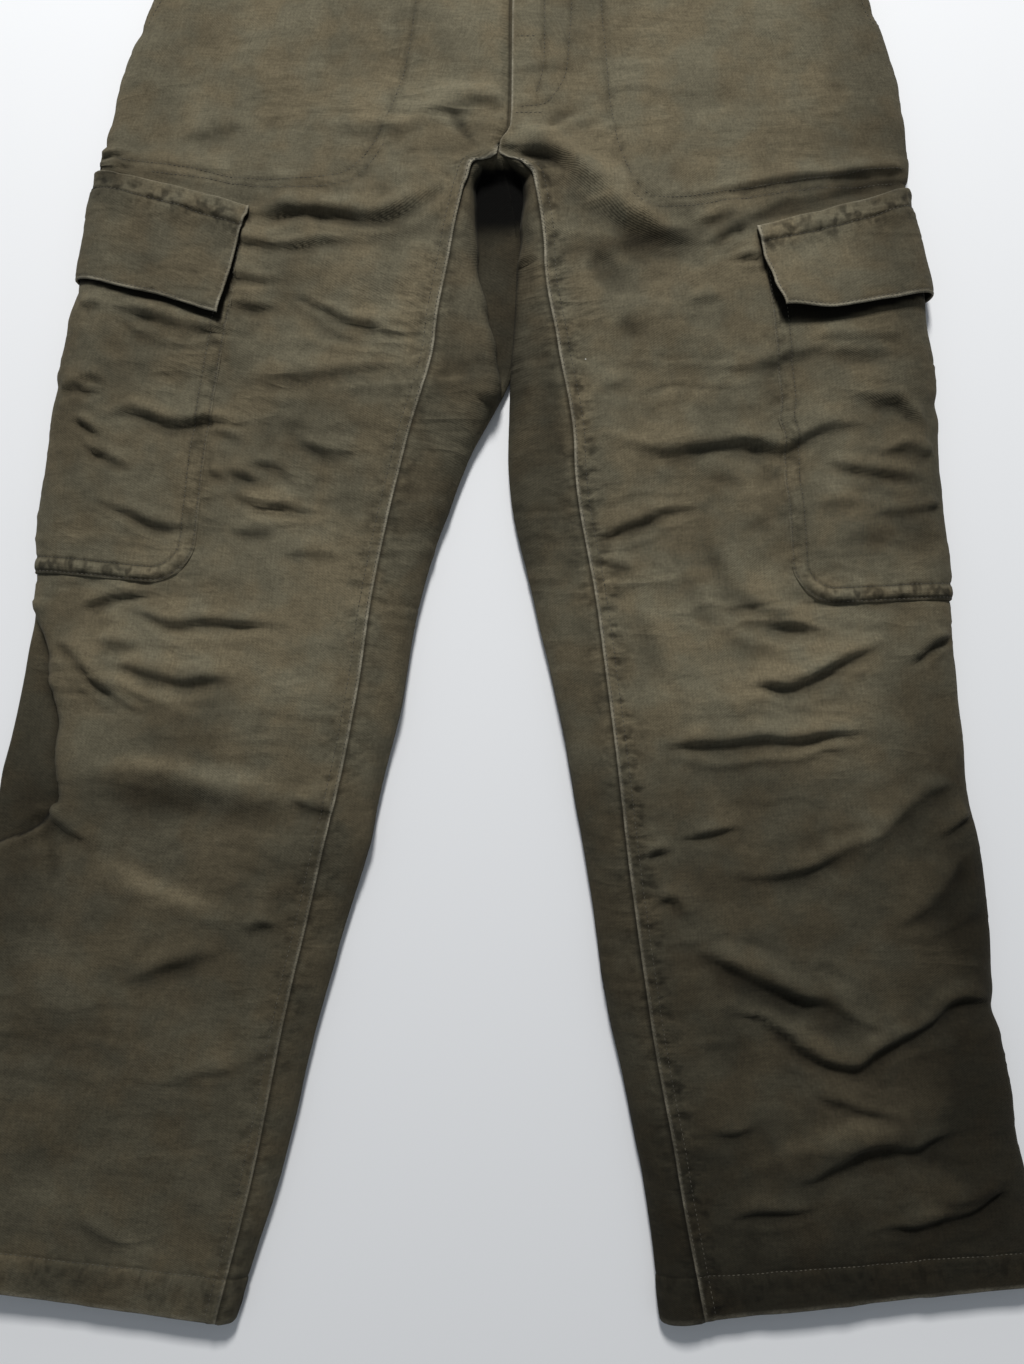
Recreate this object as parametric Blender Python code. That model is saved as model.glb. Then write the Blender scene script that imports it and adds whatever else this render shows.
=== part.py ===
"""Cargo pants lying flat on their back, front up: each cut piece is one thin cloth solid.

Metres, +Z up. The waist points to +Y and the hems to -Y; the wearer's right leg lies at -X.
A place on the cloth has two numbers: `down`, the distance below the crotch line, and `over`,
the distance round the leg from its outer fold, positive on top and negative underneath.
"""
import math
from collections import namedtuple

import bmesh
import bpy
import numpy as np
from mathutils import Vector

# Cloth
CLOTH = 0.0015            # thickness of one panel
GAP = 0.0003              # clearance between two pieces
LAYER = CLOTH + GAP       # rise from one layer to the next
BAND_CLOTH = 0.0030       # the waistband is cloth folded double

# Lengths along the garment, measured from the crotch line, downwards
WAIST_TOP = -0.285
WAIST_SEAM = -0.245
SLANT_END = -0.093        # where the slant pocket opening reaches the outer fold
FLY_END = -0.025
BAND_START = 0.018        # where the back panel's strip begins beside the crotch seam
FLAP_TOP = 0.055
POCKET_TOP = 0.067
FLAP_BOTTOM = 0.130
FORK_END = 0.130          # where the legs part
POCKET_BOTTOM = 0.322
HEM = 0.785

# Distances round the leg, measured from its outer fold
OUTSEAM = -0.020          # the side seam lies on the underside
POCKET_REACH = 0.111      # cargo pocket, on each side of the fold
FLAP_REACH = 0.121        # at its seam
FLAP_NARROWING = 0.010    # from its seam to its free edge
SLANT_AT_WAIST = 0.052    # slant pocket opening, from the fold

# Section shape
FOLD_HEIGHT = 0.005       # height of the middle of a folded edge
UNDER_ROUND = 0.006       # rounding of a folded edge on the underside
FORK_FADE = 0.030         # the legs' rounding grows over this length
LEAST_ROUND = 0.05        # of it, where the two halves meet
BACK_RISE = 0.018         # the back of the waist stands this far beyond the front
BACK_RISE_END = -0.120    # and level with it from here down
BACK_RISE_REACH = 0.030   # growing over this distance from the fold
POCKET_LIFT = 2 * LAYER   # the back panel lies on the pocket and the flap
LIFT_FADE = 0.035
UNDERLAP = 0.018          # right front, continued under the fly
FLY_STEP = 0.008          # from the fly's edge to where the right front sinks under it
FLY_SINK = 0.001          # and to where it has sunk
FLY_EDGE = 0.004
ZIP_WIDTH = 0.030
ZIP_DEPTH = 2 * LAYER + 0.0005    # under the two fronts

# Button
BUTTON_RADIUS = 0.0085
BUTTON_THICKNESS = 0.003
BUTTON_SEAT = 0.012       # from the fly's edge
BUTTON_RIM = 0.0025
BUTTON_SINK = 0.0008
BUTTON_SIDES = 24

Section = namedtuple(
    "Section", "down outer_x outer_y inner_x inner_y seam height dip round_in round_out")
# outer: the outer fold. inner: centre front above the crotch, the inner fold of the leg below it.
# seam: distance from the inner fold to the inseam. height: of the top layer. dip: height of the
# cloth at the inner point. round_in, round_out: how far from each fold the top layer levels out.
RIGHT_SECTIONS = (
    Section(-0.285, -0.187, 0.527, 0.049, 0.527, 0.000, 0.0120, 0.0120, 0.020, 0.014),
    Section(-0.200, -0.205, 0.439, 0.048, 0.439, 0.000, 0.0130, 0.0130, 0.020, 0.018),
    Section(-0.110, -0.228, 0.354, 0.043, 0.350, 0.000, 0.0140, 0.0140, 0.020, 0.022),
    Section(-0.050, -0.240, 0.293, 0.036, 0.289, 0.000, 0.0150, 0.0150, 0.020, 0.022),
    Section(0.000, -0.251, 0.251, 0.027, 0.245, 0.000, 0.0160, 0.0150, 0.020, 0.022),
    Section(0.018, -0.252, 0.242, 0.033, 0.227, 0.026, 0.0175, 0.0045, 0.024, 0.022),
    Section(0.055, -0.253, 0.227, 0.041, 0.169, 0.046, 0.0190, 0.0045, 0.030, 0.022),
    Section(0.130, -0.261, 0.155, 0.038, 0.102, 0.054, 0.0200, 0.0045, 0.034, 0.022),
    Section(0.206, -0.274, 0.075, 0.006, 0.027, 0.042, 0.0200, 0.0050, 0.034, 0.022),
    Section(0.312, -0.286, -0.040, -0.026, -0.067, 0.030, 0.0195, 0.0050, 0.030, 0.022),
    Section(0.392, -0.297, -0.127, -0.040, -0.143, 0.027, 0.0190, 0.0050, 0.028, 0.024),
    Section(0.503, -0.321, -0.238, -0.066, -0.256, 0.025, 0.0185, 0.0050, 0.026, 0.024),
    Section(0.600, -0.346, -0.336, -0.091, -0.345, 0.020, 0.0180, 0.0050, 0.024, 0.022),
    Section(0.700, -0.368, -0.428, -0.116, -0.449, 0.015, 0.0165, 0.0050, 0.022, 0.020),
    Section(0.785, -0.387, -0.507, -0.145, -0.541, 0.009, 0.0150, 0.0050, 0.020, 0.018),
)
LEFT_SECTIONS = (
    Section(-0.285, 0.273, 0.527, 0.049, 0.527, 0.000, 0.0120, 0.0120, 0.020, 0.014),
    Section(-0.200, 0.283, 0.439, 0.048, 0.439, 0.000, 0.0130, 0.0130, 0.020, 0.018),
    Section(-0.110, 0.300, 0.354, 0.043, 0.350, 0.000, 0.0140, 0.0140, 0.020, 0.022),
    Section(-0.050, 0.310, 0.293, 0.036, 0.289, 0.000, 0.0150, 0.0150, 0.020, 0.022),
    Section(0.000, 0.314, 0.251, 0.027, 0.245, 0.000, 0.0160, 0.0150, 0.020, 0.022),
    Section(0.018, 0.315, 0.237, 0.033, 0.227, 0.018, 0.0175, 0.0045, 0.017, 0.022),
    Section(0.055, 0.315, 0.215, 0.041, 0.169, 0.018, 0.0190, 0.0045, 0.018, 0.022),
    Section(0.130, 0.321, 0.139, 0.038, 0.102, 0.030, 0.0200, 0.0045, 0.020, 0.022),
    Section(0.206, 0.327, 0.059, 0.035, 0.027, 0.044, 0.0200, 0.0050, 0.022, 0.022),
    Section(0.312, 0.333, -0.059, 0.053, -0.073, 0.040, 0.0195, 0.0050, 0.022, 0.022),
    Section(0.392, 0.341, -0.142, 0.072, -0.153, 0.031, 0.0190, 0.0050, 0.022, 0.024),
    Section(0.503, 0.352, -0.245, 0.089, -0.258, 0.026, 0.0185, 0.0050, 0.022, 0.024),
    Section(0.600, 0.359, -0.342, 0.103, -0.348, 0.024, 0.0180, 0.0050, 0.022, 0.022),
    Section(0.700, 0.373, -0.443, 0.123, -0.445, 0.021, 0.0165, 0.0050, 0.022, 0.020),
    Section(0.785, 0.386, -0.515, 0.135, -0.541, 0.026, 0.0150, 0.0050, 0.020, 0.018),
)

Fold = namedtuple("Fold", "x0 y0 bow x1 y1 width rise")
# The largest folds of the top layer: from one end to the other, bowed sideways, with the half
# width and the rise of the ridge, or the depth of the trough where it is negative.
FOLDS = (
    Fold(0.039, 0.261, 0.010, 0.155, 0.199, 0.013, 0.0040),
    Fold(0.067, 0.227, 0.006, 0.161, 0.179, 0.014, -0.0040),
    Fold(-0.113, 0.201, -0.014, 0.017, 0.239, 0.014, -0.0030),
    Fold(0.119, 0.034, 0.006, 0.291, 0.047, 0.014, -0.0035),
    Fold(0.123, 0.049, 0.006, 0.287, 0.059, 0.014, 0.0025),
    Fold(0.169, -0.007, -0.022, 0.245, -0.085, 0.014, -0.0030),
    Fold(0.141, -0.163, 0.004, 0.282, -0.157, 0.014, -0.0035),
    Fold(0.187, -0.123, -0.010, 0.277, -0.109, 0.018, 0.0025),
    Fold(0.149, -0.283, -0.008, 0.299, -0.363, 0.016, -0.0040),
    Fold(0.299, -0.363, -0.010, 0.355, -0.339, 0.014, -0.0035),
    Fold(0.193, -0.449, 0.008, 0.333, -0.413, 0.016, -0.0030),
    Fold(-0.219, -0.075, -0.004, -0.109, -0.081, 0.014, -0.0035),
    Fold(-0.249, -0.103, -0.010, -0.169, -0.151, 0.016, 0.0030),
    Fold(-0.263, -0.183, 0.008, -0.083, -0.201, 0.018, 0.0025),
    Fold(-0.263, -0.353, 0.010, -0.153, -0.309, 0.018, -0.0020),
    Fold(0.025, 0.172, 0.000, 0.023, 0.112, 0.016, -0.0060),
)
FOLD_STEPS = 8

# Rows of every panel, downwards, and stops round the leg
ROWS = (WAIST_SEAM, -0.205, -0.165, -0.128, SLANT_END, -0.072, -0.048, FLY_END, 0.0, BAND_START, 0.036,
        FLAP_TOP, POCKET_TOP, 0.098, FLAP_BOTTOM, 0.160, 0.190, 0.220, 0.250, 0.280, POCKET_BOTTOM,
        0.342, 0.372, 0.404, 0.440, 0.476, 0.512, 0.550, 0.588, 0.626, 0.664, 0.702, 0.742, HEM)
EDGE_STOPS = (OUTSEAM, -0.008, 0.0, 0.008, 0.030, 0.070, POCKET_REACH)
INNER_SHARES = (0.25, 0.5, 0.75, 1.0)              # of the top layer between pocket and seam
LEG_EDGE = (-0.010, -0.006, -0.003, -GAP / 2)      # past which the last stops lie on the inseam
UNDER_STOPS = (OUTSEAM, -0.060, -POCKET_REACH)
UNDER_SHARES = (0.25, 0.6, 1.0)                    # of the rest of the underside
WALL_SHARES = (0.5, 1.0)                           # from the underside up to the inner fold
BAND_SHARES = (0.12, 0.45, 1.0)                    # from the inner fold to the inseam
POCKET_STOPS = (-POCKET_REACH, -0.060) + EDGE_STOPS
HIP_SHARES = (0.0, 0.3, 0.6, 0.8)                  # from the side seam to the slant opening
HIP_COLUMNS = 6                                    # then those of the front panel over it
HIP_TUCK = 0.0025         # the hip pocket's sheet runs under the back panel's edge
HIP_DROP = 0.0015         # and stops short of the waistband
WAIST_SHARES = (1.0, 0.86, 0.6, 0.3, 0.1)          # of the waistband's top layer, to the fold
WAIST_EDGE = (0.008, 0.0, -0.008)

SAMPLES = 160             # points of one section before it is measured out
STEP = 0.0015             # step of the differences that give the normals


def smooth_table(sections, down):
    """Read all columns of a section table at `down`, without overshoot between its rows."""
    table = np.array(sections)
    knots = table[:, 0]
    steps = np.diff(knots)[:, None]
    slopes = np.diff(table, axis=0) / steps
    before, after = slopes[:-1], slopes[1:]
    with np.errstate(divide="ignore", invalid="ignore"):
        mean = 2.0 * before * after / (before + after)
    tangents = np.vstack([slopes[:1], np.where(before * after > 0.0, mean, 0.0), slopes[-1:]])
    i = int(np.clip(np.searchsorted(knots, down) - 1, 0, len(knots) - 2))
    t = (down - knots[i]) / (knots[i + 1] - knots[i])
    span = knots[i + 1] - knots[i]
    row = (table[i] * (1 + 2 * t) * (1 - t) ** 2 + tangents[i] * span * t * (1 - t) ** 2
           + table[i + 1] * t * t * (3 - 2 * t) + tangents[i + 1] * span * t * t * (t - 1))
    return Section(*row)


def ramp(value, start, end):
    """Smooth step from 0 at `start` to 1 at `end`."""
    t = np.clip((value - start) / (end - start), 0.0, 1.0)
    return t * t * (3.0 - 2.0 * t)


def quarter_round(distance, reach):
    """Height of a quarter ellipse at a distance from its edge: 0 at the edge, 1 past its reach."""
    t = 1.0 - np.clip(distance / reach, 0.0, 1.0)
    return np.sqrt(1.0 - t * t)


def fold_path(fold):
    """Points of a fold's line: a parabola through its two ends."""
    start, end = np.array([fold.x0, fold.y0]), np.array([fold.x1, fold.y1])
    along = end - start
    across = np.array([-along[1], along[0]]) / np.linalg.norm(along)
    t = np.linspace(0.0, 1.0, FOLD_STEPS + 1)[:, None]
    return start + along * t + across * fold.bow * 4.0 * t * (1.0 - t)


def fold_rise(x, y):
    """Rise of the top layer by all folds at plan points x, y."""
    rise = np.zeros_like(x)
    for fold in FOLDS:
        path = fold_path(fold)
        nearest = np.full_like(x, np.inf)
        place = np.zeros_like(x)
        for k in range(FOLD_STEPS):
            ax, ay = path[k]
            bx, by = path[k + 1] - path[k]
            t = np.clip(((x - ax) * bx + (y - ay) * by) / (bx * bx + by * by), 0.0, 1.0)
            distance = np.hypot(x - ax - t * bx, y - ay - t * by)
            place = np.where(distance < nearest, (k + t) / FOLD_STEPS, place)
            nearest = np.minimum(nearest, distance)
        taper = np.sqrt(np.clip(4.0 * place * (1.0 - place), 0.0, 1.0))
        rise += fold.rise * taper * np.exp(-(nearest / fold.width) ** 2)
    return rise


class Half:
    """One leg with its half of the seat, as a rounded slab of two cloth layers."""

    def __init__(self, sections, seam_side):
        self.sections = sections
        self.seam_side = seam_side      # direction from centre front to this leg, along X
        self.cache = {}

    def section(self, down):
        """Two measured-out paths of the section: over the top and underneath, from the fold."""
        key = round(down, 7)
        if key in self.cache:
            return self.cache[key]
        row = smooth_table(self.sections, down)
        inner = np.array([row.inner_x + self.seam_side * GAP, row.inner_y])
        outer = np.array([row.outer_x, row.outer_y])
        width = np.linalg.norm(outer - inner)
        away = width * (1.0 - np.cos(np.linspace(0.0, math.pi, SAMPLES))) / 2  # from outer fold
        plan = outer + (inner - outer) * (away / width)[:, None]
        lift = self.lift(down, away)
        fold_z = FOLD_HEIGHT + lift[0]
        out_part = quarter_round(away, row.round_out)
        in_part = quarter_round(width - away, row.round_in)
        top_z = (row.height - (row.height - fold_z) * (1.0 - out_part)
                 - (row.height - row.dip) * (1.0 - in_part))
        top_z = top_z + fold_rise(plan[:, 0], plan[:, 1]) * out_part * self.calm(in_part, down)
        leg = ramp(down, FORK_END, FORK_END + FORK_FADE)
        rounded = UNDER_ROUND * (LEAST_ROUND + (1.0 - LEAST_ROUND) * leg)
        under_z = lift + (fold_z - lift) * (1.0 - quarter_round(away, UNDER_ROUND))
        if down >= FORK_END:
            under_z = under_z + row.dip * (1.0 - quarter_round(width - away, rounded))
        back = BACK_RISE * (1.0 - ramp(down, WAIST_TOP, BACK_RISE_END))
        back = back * ramp(away, 0.0, BACK_RISE_REACH)
        top = np.column_stack([plan, top_z])
        under = np.column_stack([plan[:, 0], plan[:, 1] + back, under_z])
        paths = []
        for path in (top, under):
            steps = np.linalg.norm(np.diff(path, axis=0), axis=1)
            paths.append((np.concatenate([[0.0], np.cumsum(steps)]), path))
        seam_over = float(np.interp(width - row.seam, away, paths[0][0]))
        under_end = float(np.interp(width - rounded, away, paths[1][0]))
        found = (paths[0], paths[1], seam_over, under_end)
        self.cache[key] = found
        return found

    @staticmethod
    def calm(in_part, down):
        """Folds fade where the top layer drops to the inner fold, but not across the fly."""
        return in_part if down > 0.0 else 1.0

    @staticmethod
    def lift(down, away):
        """Height of the underside over the floor, where it lies on the cargo pocket."""
        along = ramp(down, FLAP_TOP - LIFT_FADE, FLAP_TOP) * (
            1.0 - ramp(down, POCKET_BOTTOM, POCKET_BOTTOM + LIFT_FADE))
        across = 1.0 - ramp(away, FLAP_REACH, FLAP_REACH + LIFT_FADE)
        return POCKET_LIFT * along * across

    def point(self, down, over, inside=False):
        """Point on the outer face of the cloth; `inside` reads the top past the inner fold."""
        top, under, _, _ = self.section(down)
        lengths, path = top if (over >= 0.0 or inside) else under
        place = abs(over)
        return np.array([np.interp(place, lengths, path[:, axis]) for axis in range(3)])

    def seam_over(self, down):
        """Distance from the outer fold to the inseam or centre front, over the top."""
        return self.section(down)[2]

    def top_end(self, down):
        """Distance from the outer fold to the inner fold, over the top."""
        return float(self.section(down)[0][0][-1])

    def under_end(self, down):
        """Distance from the outer fold to the start of the inner rounding, underneath."""
        return self.section(down)[3]

    def under_length(self, down):
        """Distance from the outer fold to the inner fold, underneath."""
        return float(self.section(down)[1][0][-1])

    def normal(self, down, over):
        """Outward normal of the cloth, from small differences along and across it."""
        limit = self.top_end(down) if over > 0.0 else self.under_length(down)
        near = min(max(over, STEP - limit), limit - STEP)
        low, high = max(down - STEP, WAIST_TOP), min(down + STEP, HEM)
        if low < FORK_END <= high and over < 0.0:
            low = FORK_END
            high = FORK_END + 2 * STEP
        across = self.point(down, near + STEP) - self.point(down, near - STEP)
        along = self.point(high, near) - self.point(low, near)
        normal = np.cross(across, along) * self.seam_side
        return normal / np.linalg.norm(normal)


RIGHT = Half(RIGHT_SECTIONS, -1.0)
LEFT = Half(LEFT_SECTIONS, 1.0)


def slant_over(down):
    """Distance from the outer fold to the slant pocket opening, which ends at the side seam."""
    return max(OUTSEAM, SLANT_AT_WAIST * (down - SLANT_END) / (WAIST_SEAM - SLANT_END))


def front_stops(half, down):
    """Stops of the front panel across one row, with the rise of each from the outer face."""
    seam = half.seam_over(down)
    start = slant_over(down)
    share = (POCKET_REACH - start) / (POCKET_REACH - OUTSEAM)
    edge, rise = LEG_EDGE, 0.0
    if down < 0.0 and half is LEFT:
        edge = (-FLY_EDGE - UNDERLAP, -FLY_EDGE, -FLY_EDGE / 2, 0.0)
    elif down < 0.0:
        edge = (-FLY_STEP, -FLY_SINK, -FLY_SINK / 2, -GAP / 2)
        rise = -LAYER
        if down < FLY_END:
            edge = (-FLY_STEP, -FLY_SINK, FLY_EDGE, FLY_EDGE + UNDERLAP)
    stops = [start + (stop - OUTSEAM) * share for stop in EDGE_STOPS]
    stops += [POCKET_REACH + (seam + edge[0] - POCKET_REACH) * inner for inner in INNER_SHARES]
    stops += [seam + past for past in edge[1:]]
    return stops, [0.0] * (len(stops) - 3) + [rise] * 3


def across_point(half, other, down, over, rise):
    """Point at a rise from the outer face; past centre front it lies on the other half."""
    past = over - half.seam_over(down)
    if past <= 0.0:
        return half.point(down, over) + half.normal(down, over) * rise
    over = other.seam_over(down) - past
    return other.point(down, over) + other.normal(down, over) * rise


def finish(name, colour, roughness=0.9, metallic=0.0):
    """Plain material of one piece."""
    material = bpy.data.materials.new(name)
    material.use_nodes = True
    shader = material.node_tree.nodes["Principled BSDF"]
    shader.inputs["Base Color"].default_value = (*colour, 1.0)
    shader.inputs["Roughness"].default_value = roughness
    shader.inputs["Metallic"].default_value = metallic
    return material


def cloth_solid(name, outer, inner, material, holds=lambda i, j: True, cut_corner=False):
    """One closed solid between two grids of points, rows by columns.

    `holds` tells which cells of the grid are cloth; `cut_corner` bevels the last corner.
    """
    rows, columns = outer.shape[:2]
    bm = bmesh.new()
    place = bm.verts.layers.int.new("place")
    made = {}

    def corner(i, j):
        if (i, j) not in made:
            made[i, j] = bm.verts.new(outer[i, j])
            made[i, j][place] = i * columns + j
        return made[i, j]

    for i in range(rows - 1):
        for j in range(columns - 1):
            if not holds(i, j):
                continue
            first = corner(i, j), corner(i, j + 1), corner(i + 1, j)
            bm.faces.new(first)
            if cut_corner and (i, j) == (rows - 2, columns - 2):
                continue
            bm.faces.new((corner(i, j + 1), corner(i + 1, j + 1), corner(i + 1, j)))
    extruded = bmesh.ops.extrude_face_region(bm, geom=bm.faces[:])["geom"]
    for vert in extruded:
        if isinstance(vert, bmesh.types.BMVert):
            vert.co = Vector(inner[divmod(vert[place], columns)])
    bmesh.ops.recalc_face_normals(bm, faces=bm.faces[:])
    if bm.calc_volume(signed=True) < 0.0:
        bmesh.ops.reverse_faces(bm, faces=bm.faces[:])
    bmesh.ops.triangulate(bm, faces=bm.faces[:])
    mesh = bpy.data.meshes.new(name)
    bm.to_mesh(mesh)
    bm.free()
    mesh.materials.append(material)
    mesh.shade_smooth()
    mesh.set_sharp_from_angle(angle=math.radians(40.0))
    piece = bpy.data.objects.new(name, mesh)
    bpy.context.scene.collection.objects.link(piece)
    return piece


def front_panel(name, half, other, material):
    """Front panel: from the side seam over the outer fold to the fly and the inseam."""
    outer, inner = [], []
    for down in ROWS:
        stops, rises = front_stops(half, down)
        outer.append([across_point(half, other, down, s, r) for s, r in zip(stops, rises)])
        inner.append([across_point(half, other, down, s, r - CLOTH) for s, r in zip(stops, rises)])
    return cloth_solid(name, np.array(outer), np.array(inner), material)


def back_panel(name, half, material):
    """Back panel: the underside, and below the fork the inner fold and the top to the inseam."""
    under = len(UNDER_STOPS) + len(UNDER_SHARES)
    wall = under + len(WALL_SHARES)
    outer, inner = [], []
    for down in ROWS:
        below = max(down, FORK_END)
        start = half.under_end(down) if down >= FORK_END else half.under_length(down)
        stops = [UNDER_STOPS[0] - GAP / 2, *UNDER_STOPS[1:]]
        stops += [-POCKET_REACH - (start - POCKET_REACH) * share for share in UNDER_SHARES]
        points = [half.point(down, over) for over in stops]
        normals = [half.normal(down, over) for over in stops]
        for share in WALL_SHARES:
            begin, end = half.under_end(below), half.under_length(below)
            over = -(begin + (end - begin) * share)
            points.append(half.point(below, over))
            normals.append(half.normal(below, over))
        top, seam = half.top_end(max(down, 0.0)), half.seam_over(max(down, 0.0)) + GAP / 2
        for share in BAND_SHARES:
            over = top + (seam - top) * share
            points.append(half.point(max(down, 0.0), over))
            normals.append(half.normal(max(down, 0.0), over))
        if down > 0.0 and down < FORK_END:
            points[wall - 1] = half.point(down, top)
            normals[wall - 1] = half.normal(down, top)
        outer.append(points)
        inner.append([p - n * CLOTH for p, n in zip(points, normals)])

    def holds(i, j):
        if j < under - 1:
            return True
        if j < wall - 1:
            return ROWS[i] >= FORK_END
        return ROWS[i] >= BAND_START

    return cloth_solid(name, np.array(outer), np.array(inner), material, holds)


def patch(name, half, rows, stops, rise, material, cut_corner=False):
    """Patch lying on the panels: their points at the same rows and stops, moved out."""
    outer, inner = [], []
    for down in rows:
        points = [half.point(down, over) for over in stops(down)]
        normals = [half.normal(down, over) for over in stops(down)]
        outer.append([p + n * (rise(down) + CLOTH) for p, n in zip(points, normals)])
        inner.append([p + n * rise(down) for p, n in zip(points, normals)])
    return cloth_solid(name, np.array(outer), np.array(inner), material, cut_corner=cut_corner)


def cargo_pocket(name, half, material):
    """Patch pocket round the outer fold, with its lower front corner cut off."""
    rows = [down for down in ROWS if POCKET_TOP <= down <= POCKET_BOTTOM]
    return patch(name, half, rows, lambda down: POCKET_STOPS, lambda down: GAP, material, True)


def flap_stops(down):
    """Stops of the flap across one row: those of the pocket, and its own slanted end."""
    share = (down - FLAP_TOP) / (FLAP_BOTTOM - FLAP_TOP)
    return POCKET_STOPS[:-1] + (FLAP_REACH - FLAP_NARROWING * share,)


def cargo_flap(name, half, material):
    """Flap over the pocket's mouth, sewn on along its top."""
    rows = [down for down in ROWS if FLAP_TOP <= down <= FLAP_BOTTOM]
    return patch(name, half, rows, flap_stops,
                 lambda down: GAP if down < POCKET_TOP else GAP + LAYER, material)


def hip_pocket(name, half, material):
    """Sheet behind the slant opening, from the side seam to under the front panel."""
    outer, inner = [], []
    for down in [down for down in ROWS if down <= FLY_END]:
        front = front_stops(half, down)[0]
        seam, start = OUTSEAM - HIP_TUCK, front[0]
        stops = [seam + (start - seam) * share for share in HIP_SHARES] + front[:HIP_COLUMNS]
        if down == WAIST_SEAM:
            down += HIP_DROP
        points = [half.point(down, over) for over in stops]
        normals = [half.normal(down, over) for over in stops]
        outer.append([p - n * LAYER for p, n in zip(points, normals)])
        inner.append([p - n * (LAYER + CLOTH) for p, n in zip(points, normals)])
    return cloth_solid(name, np.array(outer), np.array(inner), material)


def waistband_stops(half, down):
    """Stops of the waistband round one half, from centre front to centre back."""
    seam, end = half.seam_over(down), half.under_length(down)
    stops = [seam * share for share in WAIST_SHARES] + [*WAIST_EDGE, *UNDER_STOPS]
    return stops + [-POCKET_REACH - (end - POCKET_REACH) * share for share in UNDER_SHARES]


def waistband(name, material):
    """Waistband: one strip all round, its left end lying over its right end at the fly."""
    outer, inner = [], []
    for down in (WAIST_TOP, 0.5 * (WAIST_TOP + WAIST_SEAM), WAIST_SEAM - GAP):
        left, right = waistband_stops(LEFT, down), waistband_stops(RIGHT, down)[-2::-1]
        right[-1] -= FLY_STEP
        points = [LEFT.point(down, over) for over in left]
        normals = [LEFT.normal(down, over) for over in left]
        points += [RIGHT.point(down, over) for over in right]
        normals += [RIGHT.normal(down, over) for over in right]
        for past in (-FLY_SINK, FLY_EDGE, FLY_EDGE + UNDERLAP):
            half = RIGHT if past < 0.0 else LEFT
            over = half.seam_over(down) - abs(past)
            normal = half.normal(down, over)
            points.append(half.point(down, over) - normal * (BAND_CLOTH + GAP))
            normals.append(normal)
        outer.append(points)
        inner.append([p - n * BAND_CLOTH for p, n in zip(points, normals)])
    return cloth_solid(name, np.array(outer), np.array(inner), material)


def fly_zip(name, material):
    """Closed zip with its tape: a strip hidden under the fly."""
    outer, inner = [], []
    for down in [down for down in ROWS if down <= FLY_END]:
        points, normals = [], []
        for past in (-ZIP_WIDTH / 2, -ZIP_WIDTH / 6, ZIP_WIDTH / 6, ZIP_WIDTH / 2):
            half = RIGHT if past < 0.0 else LEFT
            over = half.seam_over(down) - abs(past)
            points.append(half.point(down, over))
            normals.append(half.normal(down, over))
        outer.append([p - n * ZIP_DEPTH for p, n in zip(points, normals)])
        inner.append([p - n * (ZIP_DEPTH + CLOTH) for p, n in zip(points, normals)])
    return cloth_solid(name, np.array(outer), np.array(inner), material)


def waist_button(name, material):
    """Round button on the waistband, over the fly, with a rim and a sunk middle."""
    down = 0.5 * (WAIST_TOP + WAIST_SEAM)
    seat = LEFT.point(down, LEFT.seam_over(down) - BUTTON_SEAT)
    bm = bmesh.new()
    bmesh.ops.create_cone(bm, cap_ends=True, segments=BUTTON_SIDES, radius1=BUTTON_RADIUS,
                          radius2=BUTTON_RADIUS, depth=BUTTON_THICKNESS)
    lid = max(bm.faces, key=lambda face: face.calc_center_median().z)
    bmesh.ops.inset_region(bm, faces=[lid], thickness=BUTTON_RIM, depth=-BUTTON_SINK)
    bottom = seat[2] + 2 * GAP + BUTTON_THICKNESS / 2
    bmesh.ops.translate(bm, verts=bm.verts[:], vec=(seat[0], seat[1], bottom))
    mesh = bpy.data.meshes.new(name)
    bm.to_mesh(mesh)
    bm.free()
    mesh.materials.append(material)
    button = bpy.data.objects.new(name, mesh)
    bpy.context.scene.collection.objects.link(button)
    return button


def main():
    """Build every piece of the garment."""
    for old in list(bpy.data.objects):
        bpy.data.objects.remove(old, do_unlink=True)
    canvas = finish("olive_canvas", (0.090, 0.080, 0.052))
    lighter = finish("olive_canvas_worn", (0.105, 0.095, 0.063))
    tape = finish("zip_tape", (0.030, 0.028, 0.022), 0.8)
    horn = finish("button_horn", (0.020, 0.018, 0.014), 0.35)

    front_panel("right_front_panel", RIGHT, LEFT, canvas)
    front_panel("left_front_panel", LEFT, RIGHT, canvas)
    back_panel("right_back_panel", RIGHT, canvas)
    back_panel("left_back_panel", LEFT, canvas)
    for side, half in (("right", RIGHT), ("left", LEFT)):
        hip_pocket(side + "_hip_pocket", half, canvas)
        cargo_pocket(side + "_cargo_pocket", half, lighter)
        cargo_flap(side + "_cargo_flap", half, lighter)
    waistband("waistband", canvas)
    fly_zip("fly_zip", tape)
    waist_button("waist_button", horn)


main()
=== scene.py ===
"""Cargo pants laid flat: thin cloth shells, creases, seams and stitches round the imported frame.

Metres, +Z up. The waist points to +Y and the hems to -Y; the wearer's right leg lies at -X.
A place on the cloth has two numbers: `down`, the distance below the crotch line, and `over`,
the distance round the leg from its outer fold, positive on top and negative underneath.
"""
import logging
import math
from dataclasses import dataclass, field
from enum import Enum
from functools import reduce
from typing import ClassVar

import bmesh
import bpy
import numpy as np
from mathutils import Matrix, Vector
from mathutils.bvhtree import BVHTree


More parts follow.
